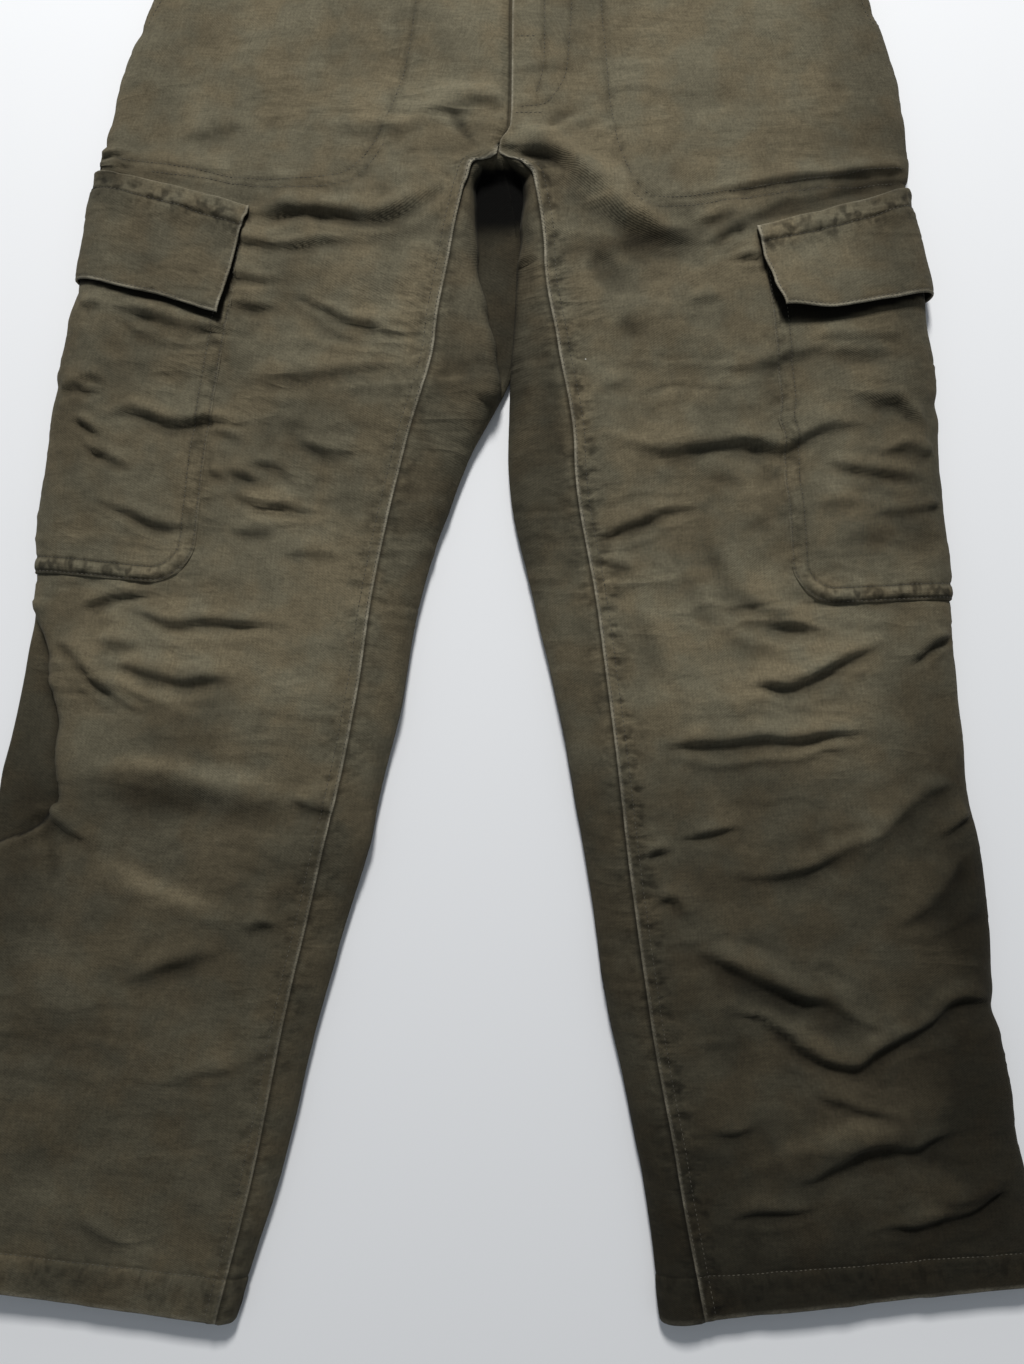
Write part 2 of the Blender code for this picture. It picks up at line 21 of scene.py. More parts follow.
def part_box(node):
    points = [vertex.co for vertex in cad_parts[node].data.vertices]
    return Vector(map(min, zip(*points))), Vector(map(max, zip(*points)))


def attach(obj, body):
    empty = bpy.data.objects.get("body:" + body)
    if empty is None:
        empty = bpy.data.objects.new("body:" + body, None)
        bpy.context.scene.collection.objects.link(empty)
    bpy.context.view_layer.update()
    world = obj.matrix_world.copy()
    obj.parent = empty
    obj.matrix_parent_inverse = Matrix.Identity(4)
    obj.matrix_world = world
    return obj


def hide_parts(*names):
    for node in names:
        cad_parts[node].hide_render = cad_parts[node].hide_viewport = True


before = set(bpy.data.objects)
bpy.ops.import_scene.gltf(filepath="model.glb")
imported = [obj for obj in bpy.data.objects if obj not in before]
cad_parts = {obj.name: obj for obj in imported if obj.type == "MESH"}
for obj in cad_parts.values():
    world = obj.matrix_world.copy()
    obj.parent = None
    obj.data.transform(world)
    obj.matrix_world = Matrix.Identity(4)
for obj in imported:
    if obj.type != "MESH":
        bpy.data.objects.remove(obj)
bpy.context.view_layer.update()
LOG = logging.getLogger("cargo_pants")

Array = np.ndarray
Point2 = tuple[float, float]

# ------------------------------------------------------------------ cloth and lengths
MM = 0.001
CLOTH = 1.2 * MM          # a panel as it shows
GAP = 0.3 * MM            # between pieces that lie on each other
LAYER = 1.8 * MM          # rise from one layer to the next

# Places by `down`
WAIST_TOP = -0.285
BAND_MIDDLE = -0.265
WAIST_SEAM = -0.245
SLANT_END = -0.093
FLY_END = -0.025
BAND_START = 0.0          # top of the back panel's strip on the front
POCKET_TOP = 0.067
FORK_END = 0.130          # the underside is open to the crotch down to here
POCKET_BOTTOM = 0.322
HEM_STITCH = 0.760
HEM = 0.785

# Places by `over`
OUTSEAM = -0.020
SLANT_AT_WAIST = 0.052
POCKET_REACH = 0.112

# Sizes of the form

FOLD_HEIGHT = 0.005       # of the outer fold
UNDER_ROUND = 0.006       # rounding of the underside
FORK_FADE = 0.030
LEAST_ROUND = 0.05        # share of it at the crotch
BACK_RISE = 0.018         # the back of the waist over its front
BACK_RISE_END = -0.120
BACK_RISE_REACH = 0.030
POCKET_LIFT = 2 * LAYER   # of the underside, where the cargo pocket and flap lie under it
LIFT_START = 0.055
LIFT_REACH = 0.121
LIFT_FADE = 0.035
FLY_STEP = 0.008          # the right front sinks under the fly between these two distances
FLY_SINK = 0.001
FLY_JOIN = (-0.012, 0.004)    # the fly ends and the inseam starts, by down
SEAM_START = (-0.004, 0.010)
UNDERLAP_END = (FLY_END - 0.010, -0.004)
SIDE_START = (SLANT_END - 0.01, SLANT_END + 0.01)

SAMPLES = 300             # points of one section before it is measured out
STEP = 1.0 * MM           # step of the differences that give the normals
CELL = 2.2 * MM           # spacing of the panels' rows
LATTICE = 0.5 * MM        # spacing of the measured sections
MIDDLE_COLUMNS = 62       # of a front panel
UNDER_COLUMNS = 20        # of a back panel's underside
BAND_COLUMNS = 14         # of a back panel's strip on top
ROLL_STEPS = 5            # columns of a folded edge
HEM_ROLL = 1.5 * MM
LEAST_HEIGHT = 0.2 * MM
FOLD_WEIGHT = 0.45        # of the creases, at a folded edge
UNDER_FADE = 0.014        # they fade over this distance, underneath
LOW_CALM = 0.7            # less of them on the low ledges
FLAP_CALM = 0.45          # less of them under a flap and on it, between these distances
FLAP_START = (0.046, 0.056)
FLAP_END = (0.124, 0.136)
FLAP_SIDE = (0.098, 0.108)
LEDGE_STEEPNESS = 0.38
LEDGE_SHARE = 0.10        # of the height, on the low ledge


class Side(Enum):
    """The wearer's side, with its direction from centre front along X."""

    RIGHT = -1.0
    LEFT = 1.0

    @property
    def word(self) -> str:
        """Name used in the names of pieces."""
        return self.name.lower()


class Kind(Enum):
    """How a crease bends the cloth."""

    FOLD = "fold"         # a crest on its left, seen along its points, and a trough on its right
    DIP = "dip"
    RIDGE = "ridge"


# Section rows: down, outer fold x and y, inner point x and y, seam, height, dip, rounding outside
# and inside. The inner point is centre front above the crotch and the leg's inner fold below it;
# seam is the distance from it to the inseam, dip the height of the cloth there.
RIGHT_SECTIONS = (
    (-0.285, -0.183, 0.527, 0.049, 0.527, 0.000, 0.0120, 0.0120, 0.020, 0.014),
    (-0.200, -0.200, 0.439, 0.0435, 0.439, 0.000, 0.0130, 0.0130, 0.020, 0.018),
    (-0.110, -0.223, 0.354, 0.0368, 0.350, 0.000, 0.0140, 0.0140, 0.020, 0.022),
    (-0.050, -0.241, 0.293, 0.0363, 0.289, 0.000, 0.0150, 0.0150, 0.020, 0.022),
    (-0.022, -0.246, 0.270, 0.0355, 0.2645, 0.000, 0.0158, 0.0150, 0.020, 0.022),
    (0.000, -0.251, 0.251, 0.027, 0.245, 0.000, 0.0165, 0.0150, 0.020, 0.022),
    (0.008, -0.2515, 0.2470, 0.0300, 0.237, 0.0185, 0.0171, 0.0098, 0.022, 0.022),
    (0.018, -0.252, 0.242, 0.033, 0.227, 0.026, 0.0180, 0.0030, 0.024, 0.022),
    (0.055, -0.253, 0.227, 0.041, 0.169, 0.046, 0.0190, 0.0035, 0.030, 0.022),
    (0.130, -0.261, 0.155, 0.038, 0.102, 0.054, 0.0200, 0.0045, 0.034, 0.022),
    (0.206, -0.274, 0.075, 0.006, 0.027, 0.042, 0.0200, 0.0050, 0.034, 0.022),
    (0.312, -0.286, -0.040, -0.026, -0.067, 0.030, 0.0195, 0.0050, 0.030, 0.022),
    (0.392, -0.297, -0.127, -0.040, -0.143, 0.027, 0.0190, 0.0050, 0.028, 0.024),
    (0.503, -0.321, -0.238, -0.066, -0.256, 0.025, 0.0185, 0.0050, 0.026, 0.024),
    (0.600, -0.346, -0.336, -0.091, -0.345, 0.020, 0.0180, 0.0050, 0.024, 0.022),
    (0.700, -0.368, -0.428, -0.116, -0.449, 0.015, 0.0165, 0.0050, 0.022, 0.020),
    (0.785, -0.387, -0.507, -0.145, -0.541, 0.009, 0.0150, 0.0050, 0.020, 0.018),
)
LEFT_SECTIONS = (
    (-0.285, 0.269, 0.527, 0.049, 0.527, 0.000, 0.0120, 0.0120, 0.020, 0.014),
    (-0.200, 0.279, 0.439, 0.0435, 0.439, 0.000, 0.0130, 0.0130, 0.020, 0.018),
    (-0.110, 0.296, 0.354, 0.0368, 0.350, 0.000, 0.0140, 0.0140, 0.020, 0.022),
    (-0.050, 0.311, 0.293, 0.0363, 0.289, 0.000, 0.0150, 0.0150, 0.020, 0.022),
    (-0.022, 0.3133, 0.2695, 0.0355, 0.2645, 0.000, 0.0158, 0.0150, 0.020, 0.022),
    (0.000, 0.315, 0.251, 0.027, 0.245, 0.000, 0.0165, 0.0150, 0.020, 0.022),
    (0.008, 0.3155, 0.2450, 0.0300, 0.237, 0.0125, 0.0171, 0.0098, 0.019, 0.022),
    (0.018, 0.316, 0.237, 0.033, 0.227, 0.018, 0.0180, 0.0030, 0.017, 0.022),
    (0.055, 0.315, 0.215, 0.041, 0.169, 0.018, 0.0190, 0.0035, 0.018, 0.022),
    (0.130, 0.321, 0.139, 0.038, 0.102, 0.030, 0.0200, 0.0045, 0.020, 0.022),
    (0.206, 0.327, 0.059, 0.035, 0.027, 0.044, 0.0200, 0.0050, 0.022, 0.022),
    (0.312, 0.333, -0.059, 0.053, -0.073, 0.040, 0.0195, 0.0050, 0.022, 0.022),
    (0.392, 0.341, -0.142, 0.072, -0.153, 0.031, 0.0190, 0.0050, 0.022, 0.024),
    (0.503, 0.352, -0.245, 0.089, -0.258, 0.026, 0.0185, 0.0050, 0.022, 0.024),
    (0.600, 0.359, -0.342, 0.103, -0.348, 0.024, 0.0180, 0.0050, 0.022, 0.022),
    (0.700, 0.373, -0.443, 0.123, -0.445, 0.021, 0.0165, 0.0050, 0.022, 0.020),
    (0.785, 0.386, -0.515, 0.135, -0.541, 0.026, 0.0150, 0.0050, 0.020, 0.018),
)
# Width of the low ledge inside (beside the crotch) and outside (below the pocket), by down
RIGHT_LEDGE_IN = ((0.0, 0.0), (0.0085, 0.015), (0.0248, 0.024), (0.042, 0.028), (0.065, 0.029),
                  (0.100, 0.021), (0.130, 0.013), (0.165, 0.0))
LEFT_LEDGE_IN = ((0.0, 0.0), (0.006, 0.006), (0.015, 0.012), (0.022, 0.0115), (0.042, 0.004),
                 (0.060, 0.0))
RIGHT_LEDGE_OUT = ((0.338, 0.0), (0.378, 0.019), (0.420, 0.033), (0.466, 0.044), (0.480, 0.036),
                   (0.500, 0.010), (0.515, 0.0))
NO_LEDGE = ((0.0, 0.0), (1.0, 0.0))
# Dents of the outer outline: down, half width, depth
RIGHT_NOTCHES = ((-0.093, 0.006, 0.0020), (-0.002, 0.005, 0.0016), (0.040, 0.006, 0.0018),
                 (0.206, 0.008, 0.0012), (0.350, 0.010, 0.0010), (0.470, 0.014, 0.0020))
LEFT_NOTCHES = ((-0.105, 0.006, 0.0020), (-0.020, 0.010, -0.0010), (0.042, 0.006, 0.0022),
                (0.200, 0.007, 0.0026), (0.241, 0.010, 0.0010), (0.455, 0.026, 0.0026),
                (0.600, 0.009, 0.0030), (0.655, 0.012, -0.0012))


def ramp(value: Array | float, start: float, end: float) -> Array | float:
    """Smooth step from 0 at `start` to 1 at `end`."""
    t = np.clip((value - start) / (end - start), 0.0, 1.0)
    return t * t * (3.0 - 2.0 * t)


def ebb(value: Array | float, start: float, end: float) -> Array | float:
    """Smooth step from 1 at `start` to 0 at `end`."""
    return 1.0 - ramp(value, start, end)


def bell(value: Array | float, half_width: float) -> Array | float:
    """Bell curve: 1 at 0, about a third at the half width."""
    return np.exp(-(value / half_width) ** 2)


def quarter_round(distance: Array, reach: Array | float) -> Array:
    """Height of a quarter ellipse: 0 at its edge, 1 past its reach."""
    t = 1.0 - np.clip(distance / reach, 0.0, 1.0)
    return np.sqrt(1.0 - t * t)


def mm(*sizes: float) -> Array:
    """Sizes given in millimetres, in metres."""
    return np.array(sizes) * MM


def patches(table: tuple[tuple[float, ...], ...], x: Array, y: Array) -> Array:
    """Sum of round patches of the plan.

    Args:
        table: x, y, half width, half height and amount of each.
        x: places along X.
        y: places along Y.

    Returns:
        The amount at the places.
    """
    amount = np.zeros_like(x)
    for at_x, at_y, half_x, half_y, more in table:
        amount = amount + more * np.exp(-((x - at_x) / half_x) ** 2 - ((y - at_y) / half_y) ** 2)
    return amount


def read_curve(knots: tuple[Point2, ...], place: float | Array) -> float | Array:
    """Read a curve given by knots, rounding its corners.

    Args:
        knots: places and values, places rising.
        place: where to read it.

    Returns:
        The value there; the end values beyond the ends.
    """
    places = np.array([knot[0] for knot in knots])
    values = np.array([knot[1] for knot in knots])
    i = np.clip(np.searchsorted(places, place, side="right") - 1, 0, len(places) - 2)
    share = ramp(place, places[i], places[i + 1])
    return values[i] + (values[i + 1] - values[i]) * share


def read_table(table: Array, place: float) -> Array:
    """Read all columns of a table at a place in its first one, without overshoot.

    Args:
        table: rows of numbers whose first column rises.
        place: where to read it.

    Returns:
        One row of numbers.
    """
    knots = table[:, 0]
    slopes = np.diff(table, axis=0) / np.diff(knots)[:, None]
    before, after = slopes[:-1], slopes[1:]
    with np.errstate(divide="ignore", invalid="ignore"):
        mean = 2.0 * before * after / (before + after)
    tangents = np.vstack([slopes[:1], np.where(before * after > 0.0, mean, 0.0), slopes[-1:]])
    i = int(np.clip(np.searchsorted(knots, place) - 1, 0, len(knots) - 2))
    span = knots[i + 1] - knots[i]
    t = (place - knots[i]) / span
    return (table[i] * (1 + 2 * t) * (1 - t) ** 2 + tangents[i] * span * t * (1 - t) ** 2
            + table[i + 1] * t * t * (3 - 2 * t) + tangents[i + 1] * span * t * t * (t - 1))


@dataclass(frozen=True)
class Noise:
    """Smooth random field of the plane, between about -1 and 1, the same on every run."""

    seed: int

    def __call__(self, x: Array, y: Array, cell_x: float, cell_y: float) -> Array:
        """Read the field.

        Args:
            x: places along X.
            y: places along Y.
            cell_x: size of its waves along X.
            cell_y: size of its waves along Y.

        Returns:
            The field at the places.
        """
        size = 256
        lattice = np.random.default_rng(self.seed).uniform(-1.0, 1.0, (size, size))
        u, v = np.asarray(x) / cell_x + 31.7, np.asarray(y) / cell_y + 57.3
        i, j = np.floor(u).astype(int), np.floor(v).astype(int)
        s, t = u - i, v - j
        s, t = s * s * s * (s * (s * 6 - 15) + 10), t * t * t * (t * (t * 6 - 15) + 10)
        i, j, i1, j1 = i % size, j % size, (i + 1) % size, (j + 1) % size
        low = lattice[i, j] * (1 - s) + lattice[i1, j] * s
        high = lattice[i, j1] * (1 - s) + lattice[i1, j1] * s
        return (low * (1 - t) + high * t) * 1.4


# ------------------------------------------------------------------ creases
@dataclass(frozen=True)
class Crease:
    """One crease, in millimetres; fades as shares of its length, points as x and y in turn."""

    kind: Kind
    height: float
    width: float
    fade_in: float
    fade_out: float
    points: tuple[int, ...]


FOLD, DIP, RIDGE = Kind.FOLD, Kind.DIP, Kind.RIDGE
STEP_SOFTNESS = 0.62      # of the drop between a fold's crest and trough, in its widths
CREST_REACH = 1.9         # how far the crest slopes away, in its widths
TROUGH_REACH = 1.5
CREASE_GAIN = 2.2         # height, for the height in the table
STEEPEST = 1.02           # height of a fold, in its widths
NARROWEST = 0.45          # width at its ends
CREASE_SLIM = 0.95        # width, for the width in the table
LONGER_FADE = 1.3         # fade, for the fade in the table
LEAST_FADE = 0.02
AFTER_FOLD = (0.42, -3.6)     # height and place of the echoes on both sides of a fold
BEFORE_FOLD = (0.26, 4.0)
UNEVEN = Noise(17)
PUCKER = Noise(31)
TONE_RISE = 2.6 * MM      # rise and depth at which a crest's rubbing and painted highlight, and a trough's painted shade, are full
# crests are rubbed paler and carry a painted highlight; troughs get painted shade
CREST_WEAR_AND_HIGHLIGHT = 0.11
TROUGH_SHADE = 0.40
CREASES = tuple(Crease(*row) for row in (
    # the wearer's left thigh, knee and shin
    (RIDGE, 2.0, 5.2, 0.04, 0.45, (38, 260, 53, 256, 69, 251, 82, 239, 95, 224, 109, 210, 125, 198, 144, 190,
     165, 186)),
    (FOLD, 2.5, 4.6, 0.02, 0.45, (28, 251, 38, 248, 50, 246, 63, 243, 76, 235, 90, 224)),
    (FOLD, 1.3, 8.0, 0.25, 0.45, (55, 246, 68, 242, 84, 231, 104, 213, 122, 198, 140, 187, 160, 180,
     186, 177)),
    (FOLD, 1.7, 8.0, 0.25, 0.25, (86, 212, 100, 203, 115, 195, 132, 187, 149, 182, 166, 181, 183, 184)),
    (FOLD, 1.4, 12.0, 0.15, 0.35, (60, 232, 84, 214, 104, 200, 124, 188, 142, 180, 168, 174)),
    (DIP, 1.8, 3.4, 0.3, 0.3, (81, 278, 70, 270, 63, 265, 60, 258)),
    (FOLD, 1.7, 4.0, 0.3, 0.2, (163, 192, 179, 197, 197, 200)),
    (FOLD, 2.2, 4.2, 0.2, 0.1, (174, 177, 181, 183, 191, 190, 202, 192)),
    (FOLD, 1.4, 3.2, 0.4, 0.05, (185, 168, 194, 169, 202, 170, 210, 169)),
    (FOLD, 1.2, 8.0, 0.3, 0.3, (98, 184, 132, 175, 159, 172, 190, 175)),
    (FOLD, 1.6, 4.5, 0.3, 0.05, (160, 213, 194, 217, 222, 221, 257, 224, 291, 226, 311, 229)),
    (DIP, 1.8, 4.0, 0.2, 0.05, (198, 192, 211, 198, 236, 204, 270, 212, 311, 218)),
    (DIP, 1.4, 7.0, 0.3, 0.3, (96, 172, 100, 159, 104, 145)),
    (DIP, 1.4, 7.0, 0.3, 0.3, (112, 128, 119, 117, 126, 105)),
    (FOLD, 1.0, 5.0, 0.3, 0.3, (93, 68, 103, 74, 119, 84)),
    (FOLD, 1.1, 4.5, 0.3, 0.3, (156, 137, 172, 134, 188, 137)),
    (FOLD, 1.4, 6.0, 0.3, 0.2, (171, 88, 190, 90, 215, 93, 230, 99, 264, 99, 302, 103)),
    (FOLD, 1.0, 4.0, 0.3, 0.1, (233, 106, 268, 108, 305, 112)),
    (FOLD, 4.2, 5.6, 0.12, 0.3, (116, 37, 124, 33, 134, 30, 152, 32, 174, 38, 202, 35, 220, 33, 242, 42,
     263, 47, 288, 51)),
    (RIDGE, 1.0, 3.0, 0.3, 0.3, (91, 48, 105, 43, 124, 33, 136, 25, 147, 17)),
    (FOLD, 3.2, 4.6, 0.35, 0.15, (261, 69, 272, 68, 284, 65, 297, 62, 306, 55, 317, 46)),
    (FOLD, 2.8, 4.2, 0.25, 0.3, (242, 23, 262, 20, 287, 17, 306, 15, 324, 11)),
    (FOLD, 2.8, 4.2, 0.35, 0.1, (283, 29, 295, 31, 306, 32, 324, 29)),
    (FOLD, 1.2, 4.0, 0.3, 0.3, (201, 24, 211, 20, 221, 16)),
    (FOLD, 1.2, 5.0, 0.3, 0.3, (164, 13, 179, 14, 198, 11)),
    (FOLD, 1.3, 4.0, 0.3, 0.05, (277, -17, 290, -13, 305, -9, 326, -4)),
    (DIP, 1.2, 6.0, 0.3, 0.2, (251, -35, 278, -33, 308, -30, 328, -33)),
    (FOLD, 1.0, 5.0, 0.3, 0.3, (238, -6, 255, -4, 273, -6)),
    (FOLD, 2.3, 5.6, 0.22, 0.55, (89, -24, 99, -25, 111, -21, 123, -17, 137, -12, 153, -9, 175, -4)),
    (FOLD, 2.2, 8.0, 0.25, 0.25, (166, -6, 170, -21, 174, -38, 185, -57, 198, -73, 215, -85, 234, -92,
     255, -95)),
    (FOLD, 1.2, 6.0, 0.3, 0.3, (194, -23, 202, -16, 214, -12)),
    (FOLD, 1.0, 4.8, 0.25, 0.4, (182, -83, 193, -87, 212, -90, 230, -91, 248, -92)),
    (FOLD, 1.6, 7.0, 0.3, 0.3, (118, -74, 128, -93, 138, -113, 150, -135)),
    (FOLD, 2.6, 5.5, 0.2, 0.25, (186, -131, 199, -129, 214, -127, 230, -123, 244, -118, 259, -111, 275, -103,
     289, -95)),
    (RIDGE, 1.2, 6.0, 0.3, 0.3, (162, -141, 189, -140, 222, -139)),
    (FOLD, 2.0, 4.0, 0.3, 0.1, (299, -116, 311, -107, 323, -99, 332, -94)),
    (FOLD, 2.6, 5.5, 0.15, 0.25, (134, -172, 155, -169, 178, -167, 204, -165, 232, -162, 258, -159,
     281, -158)),
    (FOLD, 1.8, 7.0, 0.3, 0.1, (263, -251, 277, -234, 293, -215, 310, -202, 332, -192)),
    (FOLD, 1.6, 5.0, 0.3, 0.3, (96, -43, 110, -47, 123, -45)),
    (FOLD, 1.5, 4.5, 0.3, 0.3, (146, -233, 161, -229, 178, -223, 194, -219)),
    (FOLD, 1.8, 6.5, 0.3, 0.2, (171, -251, 190, -255, 205, -255, 223, -251, 241, -245, 260, -238, 275, -229,
     286, -219)),
    (FOLD, 1.8, 4.0, 0.3, 0.05, (315, -229, 326, -223, 343, -215)),
    (FOLD, 2.0, 8.0, 0.3, 0.2, (285, -288, 299, -283, 313, -270, 324, -256, 336, -236)),
    (FOLD, 2.2, 3.6, 0.1, 0.3, (126, -242, 134, -238, 145, -242)),
    (FOLD, 1.8, 5.0, 0.3, 0.3, (131, -274, 142, -270, 150, -277, 156, -287)),
    (FOLD, 3.0, 7.0, 0.25, 0.2, (147, -288, 154, -297, 163, -306, 174, -313, 195, -320, 215, -328, 239, -337,
     262, -349, 285, -359)),
    (FOLD, 3.4, 5.2, 0.25, 0.05, (167, -347, 182, -345, 197, -345, 209, -354, 227, -366, 244, -374, 260, -377,
     273, -372, 292, -361, 310, -349, 322, -336, 334, -331, 353, -335)),
    (FOLD, 3.2, 4.0, 0.35, 0.25, (228, -391, 240, -396, 253, -401, 270, -406, 289, -408)),
    (FOLD, 2.6, 6.0, 0.25, 0.2, (216, -452, 237, -447, 252, -440, 265, -432, 282, -430, 302, -431, 317, -422,
     332, -415)),
    (RIDGE, 1.4, 7.0, 0.3, 0.3, (172, -447, 203, -441, 231, -431, 261, -421, 289, -421, 314, -413)),
    (DIP, 1.0, 9.0, 0.3, 0.3, (159, -366, 182, -372, 205, -375)),
    (FOLD, 1.2, 6.0, 0.3, 0.3, (159, -416, 178, -419, 197, -417)),
    (FOLD, 1.8, 4.6, 0.3, 0.3, (173, -476, 191, -471, 207, -470, 222, -468, 239, -465)),
    (FOLD, 2.0, 4.6, 0.3, 0.05, (262, -483, 283, -479, 302, -478, 325, -471, 359, -458)),
    (FOLD, 1.3, 5.0, 0.3, 0.05, (306, -465, 328, -462, 358, -453)),
    # the wearer's right thigh, knee and shin
    (FOLD, 2.8, 6.0, 0.1, 0.25, (-152, 202, -123, 199, -88, 197, -54, 199, -33, 204, -16, 215, 0, 232)),
    (DIP, 2.4, 3.2, 0.3, 0.2, (-5, 279, 0, 266, 5, 257, 12, 253)),
    (RIDGE, 1.6, 6.0, 0.3, 0.1, (-41, 263, -20, 277, -6, 284, 15, 286, 32, 286)),
    (FOLD, 1.2, 5.0, 0.3, 0.1, (-20, 268, 3, 277, 31, 279)),
    (FOLD, 1.2, 6.0, 0.3, 0.3, (-94, 261, -51, 259, -17, 266)),
    (FOLD, 1.0, 5.0, 0.3, 0.3, (-200, 249, -179, 258, -159, 265, -143, 261)),
    (FOLD, 1.4, 3.0, 0.02, 0.3, (-250, 244, -240, 242, -229, 245)),
    (FOLD, 1.8, 3.0, 0.02, 0.35, (-251, 230, -239, 230, -233, 232, -227, 238)),
    (FOLD, 1.6, 3.2, 0.02, 0.3, (-251, 226, -239, 225, -229, 227)),
    (FOLD, 2.4, 4.0, 0.05, 0.35, (-153, 180, -142, 180, -131, 178, -117, 174, -102, 176, -88, 178, -74, 180)),
    (FOLD, 2.0, 4.0, 0.05, 0.35, (-158, 156, -145, 153, -134, 151, -119, 151)),
    (FOLD, 1.6, 4.2, 0.05, 0.35, (-159, 136, -144, 133, -134, 132, -120, 135)),
    (FOLD, 1.5, 3.6, 0.3, 0.3, (-119, 139, -108, 137, -99, 133, -87, 127, -76, 122, -56, 120, -42, 114,
     -20, 114)),
    (FOLD, 2.2, 4.4, 0.2, 0.35, (-239, 132, -219, 127, -207, 124, -195, 120, -179, 116, -167, 115, -152, 113,
     -136, 113)),
    (FOLD, 1.5, 4.0, 0.1, 0.3, (-258, 132, -250, 134, -241, 132)),
    (FOLD, 1.5, 3.4, 0.05, 0.3, (-269, 76, -261, 78, -254, 77, -245, 74, -235, 76)),
    (FOLD, 1.1, 3.2, 0.1, 0.3, (-253, 81, -245, 83, -235, 78)),
    (FOLD, 1.6, 5.5, 0.2, 0.3, (-154, 83, -138, 83, -115, 84, -94, 85, -77, 87, -63, 90, -41, 92)),
    (FOLD, 2.5, 4.2, 0.2, 0.3, (-240, 54, -233, 56, -225, 57, -205, 53, -191, 52, -177, 52, -158, 50,
     -136, 49)),
    (FOLD, 1.8, 3.4, 0.15, 0.3, (-258, 54, -252, 52, -246, 49, -235, 43)),
    (FOLD, 1.4, 3.8, 0.2, 0.35, (-254, 38, -247, 34, -239, 30, -228, 24, -215, 20)),
    (FOLD, 1.2, 3.8, 0.2, 0.35, (-171, 44, -162, 42, -153, 40, -141, 35)),
    (FOLD, 1.7, 6.2, 0.3, 0.3, (-119, 42, -109, 38, -98, 34, -85, 31, -71, 31, -56, 35)),
    (FOLD, 1.9, 3.8, 0.2, 0.35, (-156, 18, -148, 17, -142, 15, -133, 11)),
    (FOLD, 1.4, 3.8, 0.25, 0.35, (-144, 24, -131, 23, -120, 18, -112, 11, -101, 3)),
    (FOLD, 1.4, 3.0, 0.1, 0.3, (-170, 17, -163, 16, -156, 13)),
    (FOLD, 2.0, 4.4, 0.3, 0.25, (-153, 7, -145, 0, -134, -6, -119, -8, -106, -11, -91, -14)),
    (FOLD, 1.4, 5.0, 0.3, 0.3, (-158, -22, -141, -26, -129, -26, -116, -26)),
    (FOLD, 2.2, 4.2, 0.3, 0.2, (-245, -1, -236, -4, -223, -10, -210, -17, -199, -21, -177, -24)),
    (FOLD, 1.1, 6.0, 0.3, 0.3, (-119, -43, -99, -41, -75, -45)),
    (FOLD, 2.2, 4.0, 0.1, 0.35, (-252, -75, -242, -71, -230, -68, -214, -66, -194, -64)),
    (FOLD, 3.0, 4.4, 0.2, 0.3, (-224, -78, -213, -81, -202, -85, -188, -87, -174, -87, -157, -88, -140, -89,
     -125, -89, -105, -87)),
    (FOLD, 1.3, 4.5, 0.3, 0.3, (-246, -94, -236, -98, -224, -102, -211, -104)),
    (FOLD, 1.8, 6.5, 0.25, 0.3, (-239, -110, -229, -112, -218, -115, -206, -119, -193, -122, -179, -125,
     -166, -125, -148, -124, -136, -123)),
    (FOLD, 3.0, 4.2, 0.1, 0.35, (-269, -97, -263, -101, -257, -106, -249, -113, -243, -121, -235, -129,
     -223, -139, -204, -147)),
    (RIDGE, 1.4, 5.0, 0.3, 0.3, (-243, -111, -226, -123, -204, -135, -181, -145, -162, -152)),
    (RIDGE, 1.7, 7.0, 0.3, 0.3, (-255, -188, -237, -184, -220, -184, -203, -184, -186, -186, -158, -194,
     -143, -199, -125, -203, -103, -205, -79, -207)),
    (DIP, 1.2, 9.0, 0.3, 0.3, (-246, -204, -216, -204, -186, -208, -149, -216)),
    (FOLD, 1.6, 4.4, 0.3, 0.1, (-110, -204, -101, -206, -92, -210, -81, -212)),
    (RIDGE, 1.6, 6.5, 0.3, 0.3, (-254, -255, -237, -255, -223, -257, -208, -263, -190, -270, -174, -276,
     -157, -281, -130, -286)),
    (FOLD, 1.8, 6.0, 0.3, 0.3, (-228, -330, -218, -326, -205, -321, -194, -315, -183, -312, -172, -308,
     -162, -307, -146, -305)),
    (FOLD, 1.4, 5.0, 0.3, 0.3, (-141, -295, -129, -287, -116, -285)),
    (FOLD, 1.0, 5.0, 0.3, 0.3, (-248, -468, -229, -482, -201, -492)),
    (FOLD, 2.6, 3.8, 0.08, 0.35, (-275, -209, -267, -216, -255, -225, -237, -236)),
    (DIP, 1.8, 3.0, 0.1, 0.2, (-274, -218, -269, -231, -267, -244, -268, -263)),
    (FOLD, 2.2, 3.6, 0.05, 0.2, (-297, -227, -288, -220, -271, -210)),
    (FOLD, 0.9, 6.0, 0.3, 0.3, (-198, -388, -159, -381, -126, -373)),
))


